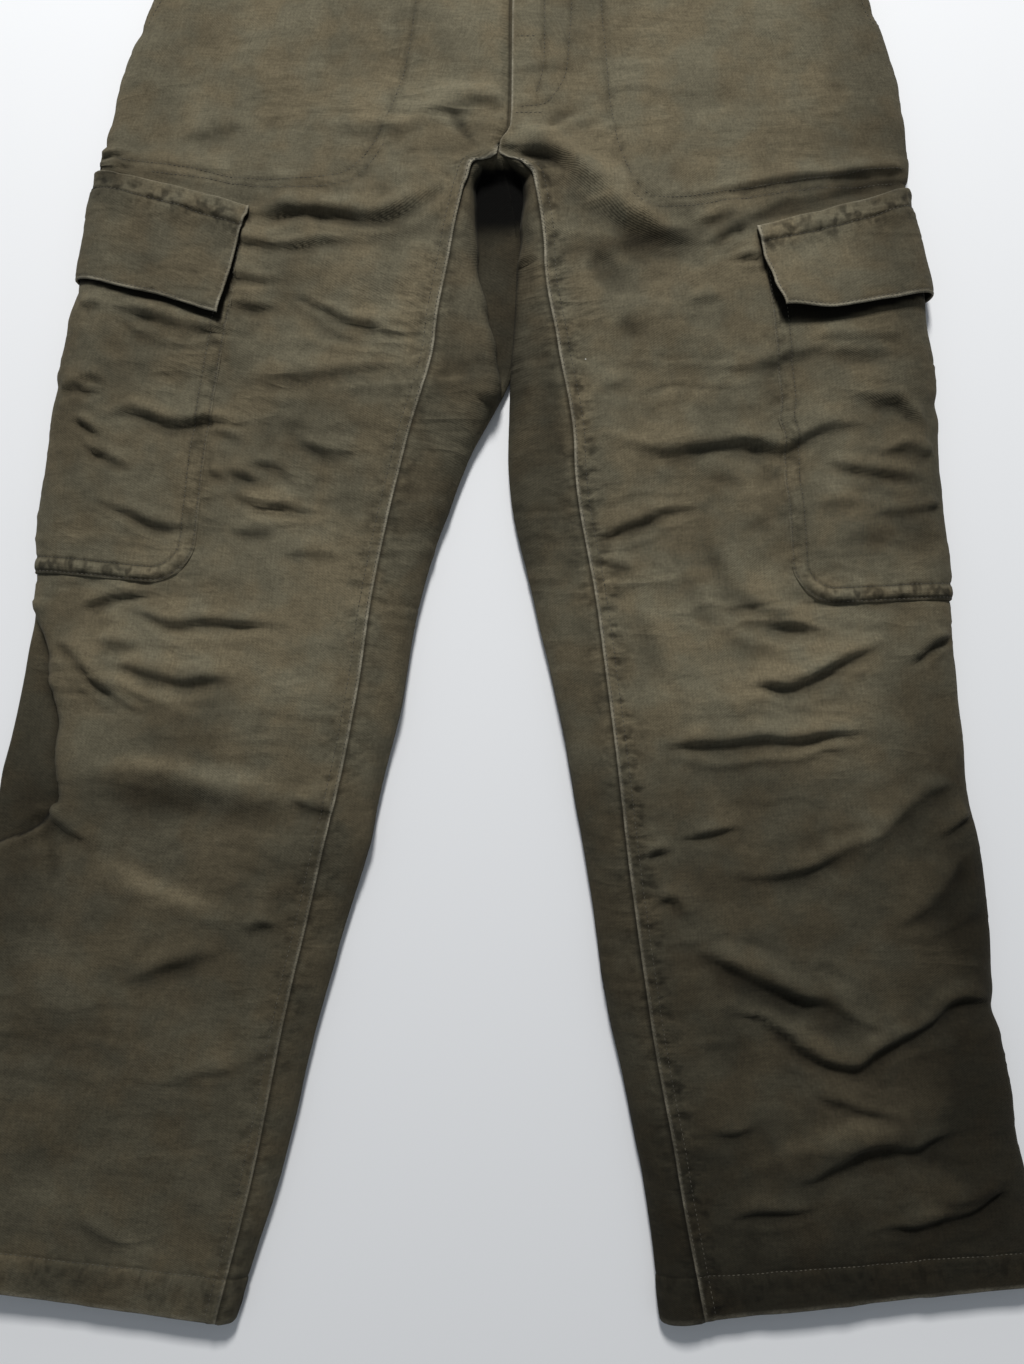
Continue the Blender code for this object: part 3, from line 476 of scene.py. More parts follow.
# Rows of stitches that show on the fronts: plan points in millimetres, x and y in turn
LINE_GROOVE = 0.45 * MM
LINE_GATHER = 0.40 * MM   # height of the gathers beside a row
LINE_WIDTH = 1.9 * MM
LINE_REACH = 20.0 * MM
FLY_LINES = (
    (79, 368, 79, 353, 77, 325, 75, 305, 70, 293, 62, 282, 53, 279, 43, 278),
    (60, 368, 60, 353, 60, 335, 59, 309, 54, 289),
)
BAG_LINES = (
    (-236, 238, -213, 236, -182, 232, -159, 226, -125, 223, -92, 225, -73, 232, -58, 253, -46, 282, -36, 317,
     -31, 353, -28, 400, -28, 450, -29, 484),
    (-213, 229, -177, 225, -147, 219, -114, 217, -85, 219, -67, 227, -52, 250),
    (308, 232, 285, 230, 262, 226, 229, 222, 195, 216, 160, 211, 138, 210, 125, 218, 113, 244, 106, 280,
     103, 316, 100, 353, 99, 400, 99, 450, 99, 484),
    (311, 224, 274, 219, 240, 216, 195, 209, 160, 204, 136, 203, 120, 212),
)
BAR_TACKS = ((39, 273, 58, 273), (42, 330, 54, 330))


def smooth_path(points: Array, steps: int) -> Array:
    """Curve through points, evenly stepped between each two.

    Args:
        points: the points in order, one a row.
        steps: steps from one point to the next.

    Returns:
        Points of the curve.
    """
    ends = np.vstack([2 * points[0] - points[1], points, 2 * points[-1] - points[-2]])
    t = np.linspace(0.0, 1.0, steps, endpoint=False)[:, None]
    parts = []
    for k in range(1, len(ends) - 2):
        a, b, c, d = ends[k - 1:k + 3]
        parts.append(0.5 * (2 * b + (c - a) * t + (2 * a - 5 * b + 4 * c - d) * t ** 2
                            + (3 * b - a - 3 * c + d) * t ** 3))
    return np.vstack([*parts, points[-1:]])


def plan_path(points: tuple[int, ...], steps: int) -> Array:
    """Curve through plan points in millimetres, x and y in turn; it is in metres."""
    return smooth_path(np.array(points, float).reshape(-1, 2) * MM, steps)


def crease_profile(kind: Kind, across: Array) -> Array:
    """Height of a crease of height 1 at distances across it, in its own widths.

    Args:
        kind: the kind of crease.
        across: the distances.

    Returns:
        The height.
    """
    if kind is Kind.FOLD:
        reach = np.where(across < 0.0, CREST_REACH, TROUGH_REACH)
        drop = -across / np.sqrt(across * across + STEP_SOFTNESS ** 2)
        return drop * np.exp(-0.5 * (across / reach) ** 2)
    return np.exp(-0.5 * across * across) * (1.0 if kind is Kind.RIDGE else -1.0)


def across_path(path: Array, x: Array, y: Array) -> tuple[Array, Array]:
    """Distance of places from a path in plan.

    Args:
        path: points of the path.
        x: places along X.
        y: places along Y.

    Returns:
        Distances, negative to the left of the path, and the share of its length at each place.
    """
    lengths = np.concatenate([[0.0], np.cumsum(np.linalg.norm(np.diff(path, axis=0), axis=1))])
    least, across, place = np.full_like(x, np.inf), np.zeros_like(x), np.zeros_like(x)
    for k in range(len(path) - 1):
        ax, ay = path[k]
        bx, by = path[k + 1] - path[k]
        square = bx * bx + by * by
        t = np.clip(((x - ax) * bx + (y - ay) * by) / square, 0.0, 1.0)
        dx, dy = x - ax - t * bx, y - ay - t * by
        distance = np.hypot(dx, dy)
        closer = distance < least
        least = np.where(closer, distance, least)
        turn = np.where(bx * dy - by * dx > 0.0, -1.0, 1.0)
        across = np.where(closer, distance * turn, across)
        place = np.where(closer, lengths[k] + t * math.sqrt(square), place)
    return across, place / lengths[-1]


def near_path(path: Array, x: Array, y: Array, reach: float) -> Array:
    """Which places lie within reach of a path's own box."""
    return ((x > path[:, 0].min() - reach) & (x < path[:, 0].max() + reach)
            & (y > path[:, 1].min() - reach) & (y < path[:, 1].max() + reach))


def crease_rise(creases: tuple[Crease, ...], x: Array, y: Array) -> Array:
    """Rise of the cloth by creases.

    Args:
        creases: the creases.
        x: plan places along X, in metres.
        y: plan places along Y, in metres.

    Returns:
        The rise in metres.
    """
    rise = np.zeros_like(x)
    echoes = np.random.default_rng(7).uniform(0.0, 1.0, (len(creases), 2))
    for crease, (after, before) in zip(creases, echoes):
        path = plan_path(crease.points, 4)
        width = crease.width * CREASE_SLIM * MM
        near = near_path(path, x, y, 6.0 * width)
        if not near.any():
            continue
        px, py = x[near], y[near]
        across, share = across_path(path, px, py)
        start = LONGER_FADE * crease.fade_in + LEAST_FADE
        end = LONGER_FADE * crease.fade_out + LEAST_FADE
        taper = ramp(share, 0.0, start) * ebb(share, 1.0 - end, 1.0)
        uneven = UNEVEN(px, py, 0.017, 0.017)
        across = across / (width * (NARROWEST + (1.0 - NARROWEST) * taper) * (1.0 + 0.13 * uneven))
        shape = crease_profile(crease.kind, across)
        if crease.kind is Kind.FOLD:
            for draw, (high, shift) in ((after, AFTER_FOLD), (before, BEFORE_FOLD)):
                shape = shape + high * draw * crease_profile(crease.kind, 1.2 * across + shift)
        height = min(crease.height * CREASE_GAIN, STEEPEST * crease.width) * MM
        rise[near] += height * taper ** 0.8 * (0.92 + 0.17 * UNEVEN(py, px, 0.015, 0.015)) * shape
    return rise


def sewn_lines(lines: tuple[tuple[int, ...], ...], x: Array, y: Array) -> tuple[Array, Array, Array]:
    """Marks that rows of stitches leave in the cloth.

    Args:
        lines: plan points of the rows, in millimetres.
        x: places along X.
        y: places along Y.

    Returns:
        The rise of the cloth, its closeness to a row, and how much a row gathers it.
    """
    rise, close, drawn = np.zeros_like(x), np.zeros_like(x), np.zeros_like(x)
    for line in lines:
        path = plan_path(line, 4)
        near = near_path(path, x, y, LINE_REACH)
        if not near.any():
            continue
        px, py = x[near], y[near]
        across, _ = across_path(path, px, py)
        rise[near] += (-LINE_GROOVE * bell(across, LINE_WIDTH) + LINE_GATHER
                       * bell(across, 6.0 * MM) * PUCKER(px, py, 0.009, 0.009))
        close[near] = np.maximum(close[near], bell(across, LINE_WIDTH))
        drawn[near] = np.maximum(drawn[near], bell(across, 3.0 * LINE_WIDTH))
    return rise, close, drawn


# Most crumpled places: x, y, half width, half height, amount
CRUMPLES = (
    (-0.10, 0.07, 0.12, 0.10, 0.75), (0.16, 0.08, 0.13, 0.09, 0.75), (0.24, -0.09, 0.09, 0.06, 0.7),
    (-0.23, 0.05, 0.06, 0.14, 0.4), (-0.20, -0.11, 0.10, 0.05, 0.5), (0.03, 0.27, 0.10, 0.03, 0.5),
    (0.28, 0.21, 0.06, 0.03, 0.4), (0.27, -0.34, 0.12, 0.10, 0.3),
)


@dataclass(frozen=True)
class Relief:
    """All that bends the cloth away from the plain form, and the rubbing, painted highlights and painted
    shade that follow its creases.
    """

    bend: Noise = Noise(11)
    wave: Noise = Noise(12)
    ripple: Noise = Noise(13)
    mask: Noise = Noise(14)
    under: Noise = Noise(15)
    shift: float = 2.2 * MM           # how far places are moved about
    broad: float = 1.4 * MM           # wide waves across the leg
    long: float = 0.6 * MM            # narrow waves along it
    small_a: float = 1.15 * MM        # small creases
    small_b: float = 0.65 * MM
    top_level: Point2 = (0.0055, 0.0085)    # the top layer's crest rubbing, painted highlight and painted shade start between these heights
    dent: float = 1.0 * MM            # of the layer underneath
    hollow: float = 1.2 * MM

    def top(self, x: Array, y: Array) -> Array:
        """Rise of the top layer at plan places."""
        rise = self.creased(x, y) + self.broad * self.wave(x, y, 0.100, 0.045)
        return rise + self.long * self.wave(y + 0.3, x, 0.022, 0.050)

    def creased(self, x: Array, y: Array) -> Array:
        """Rise by the creases, at places moved about a little so that they run less evenly."""
        wx = x + self.shift * self.bend(x, y, 0.028, 0.028)
        wy = y + self.shift * self.bend(y, x, 0.031, 0.026)
        return crease_rise(CREASES, wx, wy) + self.small(wx, wy)

    def tone(self, points: Array) -> tuple[Array, Array]:
        """Paler crests, rubbed and with a painted highlight, and painted shade in the troughs, following the
        creases of the top layer.

        Args:
            points: points of the cloth.

        Returns:
            How much a crest is rubbed and given a painted highlight, and how deep in a trough, under painted
            shade, the point lies.
        """
        on_top = ramp(points[..., 2], *self.top_level)
        rise = on_top * self.creased(points[..., 0], points[..., 1]) / TONE_RISE
        return np.clip(rise, 0.0, 1.0), np.clip(-rise, 0.0, 1.0)

    def small(self, x: Array, y: Array) -> Array:
        """Small creases, mostly across the legs.

        Args:
            x: places along X.
            y: places along Y.

        Returns:
            Their rise.
        """
        line_a = self.ripple(x + 0.15 * y, y, 0.075, 0.015) + 0.35 * self.ripple(y, x, 0.016, 0.022)
        line_b = self.ripple(x - 0.25 * y, y + 0.5, 0.040, 0.010)
        rise = 0.0
        for line, height in ((line_a / 0.34, self.small_a), (line_b / 0.40, self.small_b)):
            drop = -line / np.sqrt(line * line + 0.2)
            rise = rise + height * drop * np.exp(-0.5 * line * line)
        calm = 0.35 + 0.65 * ramp(self.mask(x, y, 0.07, 0.05), -0.4, 0.6)
        return calm * self.crumple(x, y) * rise

    @staticmethod
    def crumple(x: Array, y: Array) -> Array:
        """How crumpled the cloth is, about 1 where it is worn most."""
        return 0.5 + patches(CRUMPLES, x, y)

    def below(self, x: Array, y: Array) -> Array:
        """Dents of the layer underneath, upwards only: between them it lies on the floor.

        Args:
            x: places along X.
            y: places along Y.

        Returns:
            Their rise, which is never above 0.
        """
        line = (self.under(x, y, 0.050, 0.019) + 0.4 * self.under(y, x, 0.014, 0.030)) / 0.30
        broad = ramp(self.under(y, x + 0.4, 0.080, 0.055), 0.05, 0.9)
        return -(self.dent * np.exp(-0.5 * line ** 2) + self.hollow * broad)


RELIEF = Relief()


# ------------------------------------------------------------------ the form
@dataclass
class Leg:
    """One leg with its half of the seat, as a rounded slab of two cloth layers."""

    side: Side
    rows: tuple[tuple[float, ...], ...]
    ledge_in: tuple[Point2, ...]
    ledge_out: tuple[Point2, ...]
    notches: tuple[tuple[float, float, float], ...]

    def __post_init__(self) -> None:
        """Measure out sections all down the leg."""
        self.lattice = np.arange(WAIST_TOP, HEM + LATTICE, LATTICE)
        self.top_points = np.empty((len(self.lattice), SAMPLES, 3))
        self.under_points = np.empty_like(self.top_points)
        self.seams = np.empty(len(self.lattice))
        for k, down in enumerate(self.lattice):
            self.top_points[k], self.under_points[k], self.seams[k] = self.measure(min(down, HEM))
        self.top_lengths = self.measure_out(self.top_points)
        self.under_lengths = self.measure_out(self.under_points)

    @staticmethod
    def measure_out(paths: Array) -> Array:
        """Distance of each point of a path from its start, along the path."""
        steps = np.linalg.norm(np.diff(paths, axis=1), axis=2)
        return np.hstack([np.zeros((len(paths), 1)), np.cumsum(steps, axis=1)])

    def measure(self, down: float) -> tuple[Array, Array, float]:
        """Work out one section.

        Args:
            down: distance below the crotch line.

        Returns:
            The paths over the top and underneath, and the distance to the inseam over the top.
        """
        (_, outer_x, outer_y, inner_x, inner_y, seam, height, dip, round_out,
         round_in) = read_table(np.array(self.rows), down)
        dent = sum(depth * math.exp(-((down - place) / half) ** 2)
                   for place, half, depth in self.notches)
        inner = np.array([inner_x + self.side.value * GAP, inner_y])
        outer = np.array([outer_x - self.side.value * dent, outer_y])
        width = float(np.linalg.norm(outer - inner))
        away = width * (1.0 - np.cos(np.linspace(0.0, math.pi, SAMPLES))) / 2
        plan = outer + (inner - outer) * (away / width)[:, None]
        lift = self.lift(down, away)
        fold_z = FOLD_HEIGHT + lift[0]
        out_part = self.outer_part(down, away, round_out)
        ledge = float(read_curve(self.ledge_in, down))
        reach = round_in if ledge <= 0.0 else round_in * LEDGE_STEEPNESS
        in_part = quarter_round(width - away - ledge, reach)
        top_z = height - (height - fold_z) * (1.0 - out_part) - (height - dip) * (1.0 - in_part)
        leg = ramp(down, FORK_END, FORK_END + FORK_FADE)
        rounded = UNDER_ROUND * (LEAST_ROUND + (1.0 - LEAST_ROUND) * leg)
        under_z = lift + (fold_z - lift) * (1.0 - quarter_round(away, UNDER_ROUND))
        if down >= FORK_END:
            under_z = under_z + dip * (1.0 - quarter_round(width - away, rounded))
        back = BACK_RISE * ebb(down, WAIST_TOP, BACK_RISE_END)
        back = back * ramp(away, 0.0, BACK_RISE_REACH)
        top = np.column_stack([plan, top_z])
        under = np.column_stack([plan[:, 0], plan[:, 1] + back, under_z])
        lengths = self.measure_out(top[None])[0]
        return top, under, float(np.interp(width - seam, away, lengths))

    def outer_part(self, down: float, away: Array, reach: float) -> Array:
        """Share of its height that the top layer has reached, from the outer fold inwards.

        Args:
            down: distance below the crotch line.
            away: distances from the outer fold, in plan.
            reach: reach of the rounding.

        Returns:
            From 0 to 1.
        """
        ledge = float(read_curve(self.ledge_out, down))
        if ledge <= 0.0:
            return quarter_round(away, reach)
        low = LEDGE_SHARE * quarter_round(away, UNDER_ROUND)
        return low + (1.0 - low) * quarter_round(away - ledge, reach * LEDGE_STEEPNESS)

    @staticmethod
    def lift(down: float, away: Array) -> Array:
        """Height of the underside over the floor, where it lies on the cargo pocket.

        Args:
            down: distance below the crotch line.
            away: distances from the outer fold, in plan.

        Returns:
            The height.
        """
        along = (ramp(down, LIFT_START - LIFT_FADE, LIFT_START)
                 * ebb(down, POCKET_BOTTOM, POCKET_BOTTOM + LIFT_FADE))
        return POCKET_LIFT * along * ebb(away, LIFT_REACH, LIFT_REACH + LIFT_FADE)

    def seam(self, downs: Array) -> Array:
        """Distance from the outer fold to the inseam or centre front, over the top."""
        return np.interp(downs, self.lattice, self.seams)

    def top_end(self, downs: Array) -> Array:
        """Distance from the outer fold to the inner fold, over the top."""
        return np.interp(downs, self.lattice, self.top_lengths[:, -1])

    def under_end(self, downs: Array) -> Array:
        """Distance from the outer fold to the inner fold, underneath."""
        return np.interp(downs, self.lattice, self.under_lengths[:, -1])

    def surface(self, downs: Array, overs: Array) -> Array:
        """Points of the outer face.

        Args:
            downs: distances below the crotch line.
            overs: distances round the leg, in an array of the same shape.

        Returns:
            The points, with one more axis.
        """
        shape = overs.shape
        place = np.clip((downs.ravel() - WAIST_TOP) / LATTICE, 0.0, len(self.lattice) - 1.001)
        over = overs.ravel()
        row = np.floor(place).astype(int)
        share = (place - row)[:, None]
        found = np.empty((over.size, 3))
        order = np.argsort(row, kind="stable")
        cuts = np.flatnonzero(np.diff(row[order])) + 1
        for part in np.split(order, cuts):
            k, blend = row[part[0]], share[part]
            found[part] = (self.read(k, over[part]) * (1.0 - blend)
                           + self.read(k + 1, over[part]) * blend)
        return found.reshape(*shape, 3)

    def read(self, k: int, over: Array) -> Array:
        """Points of one measured section at distances from the outer fold.

        Args:
            k: number of the section.
            over: the distances, negative underneath.

        Returns:
            The points.
        """
        place, top = np.abs(over), over >= 0.0
        points = np.empty((over.size, 3))
        for axis in range(3):
            points[top, axis] = np.interp(place[top], self.top_lengths[k],
                                          self.top_points[k, :, axis])
            points[~top, axis] = np.interp(place[~top], self.under_lengths[k],
                                           self.under_points[k, :, axis])
        return points

    def frames(self, downs: Array, overs: Array) -> tuple[Array, Array, Array, Array]:
        """Points of the outer face with their directions.

        Args:
            downs: distances below the crotch line.
            overs: distances round the leg, in an array of the same shape.

        Returns:
            Points, outward normals, and unit directions across (along `over`) and down.
        """
        least = np.where((overs < 0.0) & (downs >= FORK_END), FORK_END + LATTICE, WAIST_TOP)
        low, high = np.maximum(downs - STEP, least), np.minimum(downs + STEP, HEM)
        high = np.maximum(high, low + STEP)
        limit = np.where(overs >= 0.0, self.top_end(downs), self.under_end(downs)) - STEP
        near = np.clip(overs, -limit, limit)
        across = self.surface(downs, near + STEP) - self.surface(downs, near - STEP)
        along = self.surface(high, near) - self.surface(low, near)
        normals = unit(np.cross(across, along) * self.side.value)
        return self.surface(downs, overs), normals, unit(across), unit(along)


def unit(vectors: Array) -> Array:
    """Vectors of length 1 in the same directions; +Z where there is none."""
    size = np.linalg.norm(vectors, axis=-1, keepdims=True)
    return np.where(size > 1e-12, vectors / np.maximum(size, 1e-12), (0.0, 0.0, 1.0))


@dataclass
class Cloth:
    """The creased cloth of one half; past centre front it lies on the other half."""

    leg: Leg
    other: Leg

    def lay(self, downs: Array, overs: Array, rise: Array | float = 0.0,
            push: Array | float = 0.0, drop: Array | float = 0.0) -> tuple[Array, Array]:
        """Points on or near the creased cloth.

        Args:
            downs: distances below the crotch line.
            overs: distances round the leg.
            rise: how far each point is moved out along the normal.
            push: how far it is moved along `over`.
            drop: how far it is moved down the leg.

        Returns:
            The points and the outward normals of the plain form.
        """
        downs, overs = np.broadcast_arrays(np.asarray(downs, float), np.asarray(overs, float))
        points, normals, across, along = self.leg.frames(downs, overs)
        past = overs - self.leg.top_end(downs)
        beyond = (past > 0.0) & (downs < 0.0)
        if beyond.any():
            there = self.other.top_end(downs[beyond]) - past[beyond]
            found = self.other.frames(downs[beyond], there)
            points[beyond], normals[beyond] = found[0], found[1]
            across[beyond], along[beyond] = -found[2], found[3]
        rise = rise + self.relief(downs, overs, points, normals)
        points = (points + normals * rise[..., None]
                  + across * np.broadcast_to(push, overs.shape)[..., None]
                  + along * np.broadcast_to(drop, overs.shape)[..., None])
        points[..., 2] = np.maximum(points[..., 2], LEAST_HEIGHT)
        return points, normals

    def relief(self, downs: Array, overs: Array, points: Array, normals: Array) -> Array:
        """Rise of the cloth by its creases, on top and underneath.

        Args:
            downs: distances below the crotch line.
            overs: distances round the leg.
            points: points of the plain form.
            normals: its normals there.

        Returns:
            The rise.
        """
        x, y = points[..., 0], points[..., 1]
        top = FOLD_WEIGHT + (1.0 - FOLD_WEIGHT) * ramp(normals[..., 2], 0.0, 0.6)
        to_fold = -overs
        to_inner = np.where(downs > FORK_END, self.leg.under_end(downs) + overs, 1.0)
        edge = ebb(np.minimum(to_fold, to_inner), 0.0, UNDER_FADE)
        weight = np.where(overs >= 0.0, top, FOLD_WEIGHT * edge)
        calm = 1.0 - LOW_CALM * ebb(points[..., 2], 0.004, 0.010) * (overs >= 0.0)
        flap = (ramp(downs, *FLAP_START) * ebb(downs, *FLAP_END)
                * ebb(np.abs(overs), *FLAP_SIDE))
        rise = RELIEF.top(x, y) * weight * calm * (1.0 - FLAP_CALM * flap)
        under = overs < 0.0
        if under.any():
            rise[under] += RELIEF.below(x[under], y[under]) * (1.0 - edge[under])
        return rise


# ------------------------------------------------------------------ meshes
@dataclass
class Marks:
    """Numbers kept with each point of a cloth, for its material."""

    fade: Array | float = 0.0     # 0 is the dark fresh cloth, 1 the palest; with painted highlights and painted shade along the creases
    wearandpaintedlight: Array | float = 0.0     # rubbed pale
    shade: Array | float = 1.0    # painted shade: the share of light that reaches the cloth
    pull_x: Array | float = 0.0   # gathered by a seam down the leg; the material turns it into relief and painted shade
    pull_y: Array | float = 0.0   # gathered by a seam across it; the material turns it into relief and painted shade
    crumple: Array | float = 0.0

    def follow(self, points: Array) -> None:
        """Add what the creases do to the cloth at its points: rubbed crests with a painted highlight, and
        painted shade in the troughs.
        """
        crest, trough = RELIEF.tone(points)
        self.fade = self.fade + CREST_WEAR_AND_HIGHLIGHT * crest
        self.shade = self.shade * (1.0 - TROUGH_SHADE * trough)
        self.crumple = RELIEF.crumple(points[..., 0], points[..., 1])


def finished(name: str, bm: bmesh.types.BMesh) -> bpy.types.Object:
    """Make an object of the scene from a bmesh, and free it.

    Args:
        name: the name of the object and its mesh.
        bm: the bmesh.

    Returns:
        The new object.
    """
    mesh = bpy.data.meshes.new(name)
    bm.to_mesh(mesh)
    bm.free()
    piece = bpy.data.objects.new(name, mesh)
    bpy.context.scene.collection.objects.link(piece)
    return piece


def grid_object(name: str, points: Array, uv: Array, marks: Marks, side: Side,
                kept: Array | None = None) -> bpy.types.Object:
    """Cloth made from a grid of points.

    Args:
        name: the piece's name.
        points: the points, rows by columns.
        uv: distances across and down the cloth, rows by columns.
        marks: numbers kept with each point.
        side: the half of the garment, which settles the way the faces point.
        kept: which cells are cloth; all of them if it is left out.

    Returns:
        The new object.
    """
    rows, columns = points.shape[:2]
    bm = bmesh.new()
    bmesh.ops.create_grid(bm, x_segments=columns - 1, y_segments=rows - 1, size=0.5)
    if kept is not None:
        centres = [(face, face.calc_center_median()) for face in bm.faces]
        dropped = [face for face, at in centres if not kept[int((at.y + 0.5) * (rows - 1)),
                                                            int((at.x + 0.5) * (columns - 1))]]
        bmesh.ops.delete(bm, geom=dropped, context="FACES")
    if side is Side.RIGHT:
        bmesh.ops.reverse_faces(bm, faces=bm.faces[:])
    piece = finished(name, bm)
    mesh = piece.data
    place = np.empty(len(mesh.vertices) * 3, np.float32)
    mesh.vertices.foreach_get("co", place)
    place = place.reshape(-1, 3)
    i = np.rint((place[:, 1] + 0.5) * (rows - 1)).astype(int)
    j = np.rint((place[:, 0] + 0.5) * (columns - 1)).astype(int)
    mesh.vertices.foreach_set("co", points[i, j].astype(np.float32).ravel())
    corners = np.empty(len(mesh.loops), np.int32)
    mesh.loops.foreach_get("vertex_index", corners)
    layer = mesh.uv_layers.new(name="cloth")
    layer.uv.foreach_set("vector", uv[i, j][corners].astype(np.float32).ravel())
    marks.follow(points)
    for mark, values in vars(marks).items():
        attribute = mesh.attributes.new(mark, "FLOAT", "POINT")
        values = np.broadcast_to(values, (rows, columns))[i, j]
        attribute.data.foreach_set("value", values.astype(np.float32))
    mesh.shade_smooth()
    mesh.update()
    return piece


def thicken(piece: bpy.types.Object, thickness: float) -> None:
    """Give a cloth its thickness, inwards."""
    solid = piece.modifiers.new("thickness", "SOLIDIFY")
    solid.thickness = thickness
    solid.offset = -1.0


def dress(piece: bpy.types.Object, material: bpy.types.Material) -> None:
    """Give a piece its material and let it ride with the garment.

    Args:
        piece: the piece.
        material: its only material.
    """
    piece.data.materials.clear()
    piece.data.materials.append(material)
    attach(piece, "root")


# ------------------------------------------------------------------ wear, fading, painted highlights and painted shade
@dataclass(frozen=True)
class Fading:
    """Fading of one leg by down, from 0, the dark fresh cloth, to 1, the palest."""

    along: tuple[Point2, ...]
    strip: tuple[Point2, ...]         # less on the back panel's strip
    outer: tuple[Point2, ...]         # less beside the outer fold


FADING = {
    Side.RIGHT: Fading(
        ((-0.285, 0.91), (-0.05, 0.86), (0.060, 0.76), (0.150, 0.68), (0.240, 0.66), (0.310, 0.82),
         (0.360, 0.84), (0.420, 0.62), (0.480, 0.42), (0.560, 0.41), (0.640, 0.43), (0.785, 0.46)),
        ((0.0, 0.29), (0.300, 0.22), (0.420, 0.00), (0.600, -0.06), (0.785, 0.18)),
        ((-0.285, 0.18), (0.350, 0.16), (0.450, 0.04), (0.785, 0.02))),
    Side.LEFT: Fading(
        ((-0.285, 0.86), (-0.05, 0.80), (0.060, 0.76), (0.180, 0.70), (0.270, 0.74), (0.340, 0.88),
         (0.400, 0.76), (0.450, 0.44), (0.510, 0.29), (0.600, 0.24), (0.700, 0.12), (0.740, 0.03),
         (0.785, -0.08)),
        ((0.0, 0.46), (0.200, 0.46), (0.350, 0.28), (0.450, 0.12), (0.600, 0.00), (0.785, 0.06)),
        ((-0.285, 0.34), (0.300, 0.34), (0.450, 0.30), (0.785, 0.30))),
}
# Paler and darker patches: x, y, half width, half height, amount
FADE_PATCHES = (
    (0.264, 0.272, 0.045, 0.060, -0.14),
    (0.218, -0.099, 0.048, 0.026, 0.55), (0.203, -0.064, 0.050, 0.030, 0.12),
    (-0.168, -0.103, 0.050, 0.018, 0.38), (-0.225, -0.097, 0.030, 0.020, 0.14),
    (-0.204, -0.137, 0.040, 0.016, 0.14), (0.125, 0.179, 0.040, 0.020, -0.12),
    (0.132, 0.243, 0.050, 0.040, 0.06), (0.193, 0.137, 0.060, 0.040, 0.08),
    (-0.202, -0.204, 0.075, 0.018, -0.16), (-0.232, -0.097, 0.020, 0.020, 0.10),
    (0.160, -0.308, 0.040, 0.030, 0.05), (-0.109, 0.183, 0.060, 0.050, -0.05),
    (-0.074, 0.151, 0.080, 0.040, 0.05), (0.177, -0.043, 0.020, 0.030, -0.12),
    (0.096, -0.137, 0.030, 0.040, -0.12), (0.123, -0.097, 0.040, 0.050, -0.08),
    (0.261, -0.164, 0.050, 0.040, 0.06), (0.302, 0.115, 0.050, 0.060, -0.06),
    (-0.107, 0.053, 0.060, 0.030, -0.06), (-0.290, -0.250, 0.020, 0.070, -0.16),
    (0.300, -0.150, 0.022, 0.060, -0.12), (-0.211, 0.161, 0.014, 0.010, -0.16),
    (-0.234, 0.188, 0.012, 0.008, 0.08), (-0.177, 0.163, 0.012, 0.012, -0.08),
)

# Streaks along the creases, added to the fading: painted highlights on crests and ridges and painted shade in
# troughs and under rolls; half width in millimetres, amount, and plan points
PAINTED_LIGHT_STREAKS = (
    (5.5, 0.26, (-255, -175, -216, -177, -176, -184, -136, -189, -82, -200)),
    (9.0, -0.16, (-254, -189, -202, -198, -143, -209, -83, -217)),
    (5.5, 0.22, (-254, -236, -221, -249, -181, -266, -138, -280)),
    (5.0, 0.14, (-232, -119, -204, -137, -158, -151)),
    (6.5, -0.16, (-233, -107, -198, -119, -144, -123)),
    (7.0, -0.1, (-239, -311, -199, -317, -148, -301)),
    (3.2, 0.16, (43, 259, 60, 253, 74, 243, 91, 225, 111, 205, 139, 189, 170, 182)),
    (3.6, -0.22, (37, 242, 56, 239, 70, 229, 85, 210, 102, 193)),
    (6.0, 0.1, (163, -294, 225, -314, 284, -333)),
    (7.0, -0.1, (154, -288, 183, -319, 225, -341, 276, -362)),
    (5.0, -0.1, (198, -347, 243, -375, 264, -378)),
    (5.0, 0.1, (181, -442, 262, -411, 324, -396)),
    (5.0, -0.12, (233, -397, 288, -408)),
    (5.0, -0.1, (242, -430, 288, -422, 328, -406)),
    (2.4, -0.45, (-5, 277, 1, 266, 7, 255, 15, 245)),
    (2.4, -0.42, (32, 246, 48, 243, 63, 239, 78, 229, 92, 214)),
    (3.0, 0.22, (37, 262, 49, 256, 65, 251)),
    (6.0, -0.14, (89, 172, 106, 154, 115, 135)),
    (5.0, -0.12, (115, 128, 124, 105)),
    (5.0, -0.1, (2, 243, -7, 230, -20, 223, -37, 215)),
    (6.5, -0.34, (102, 192, 125, 183, 147, 179, 170, 179)),
    (5.0, -0.2, (125, 210, 144, 203, 168, 200)),
)


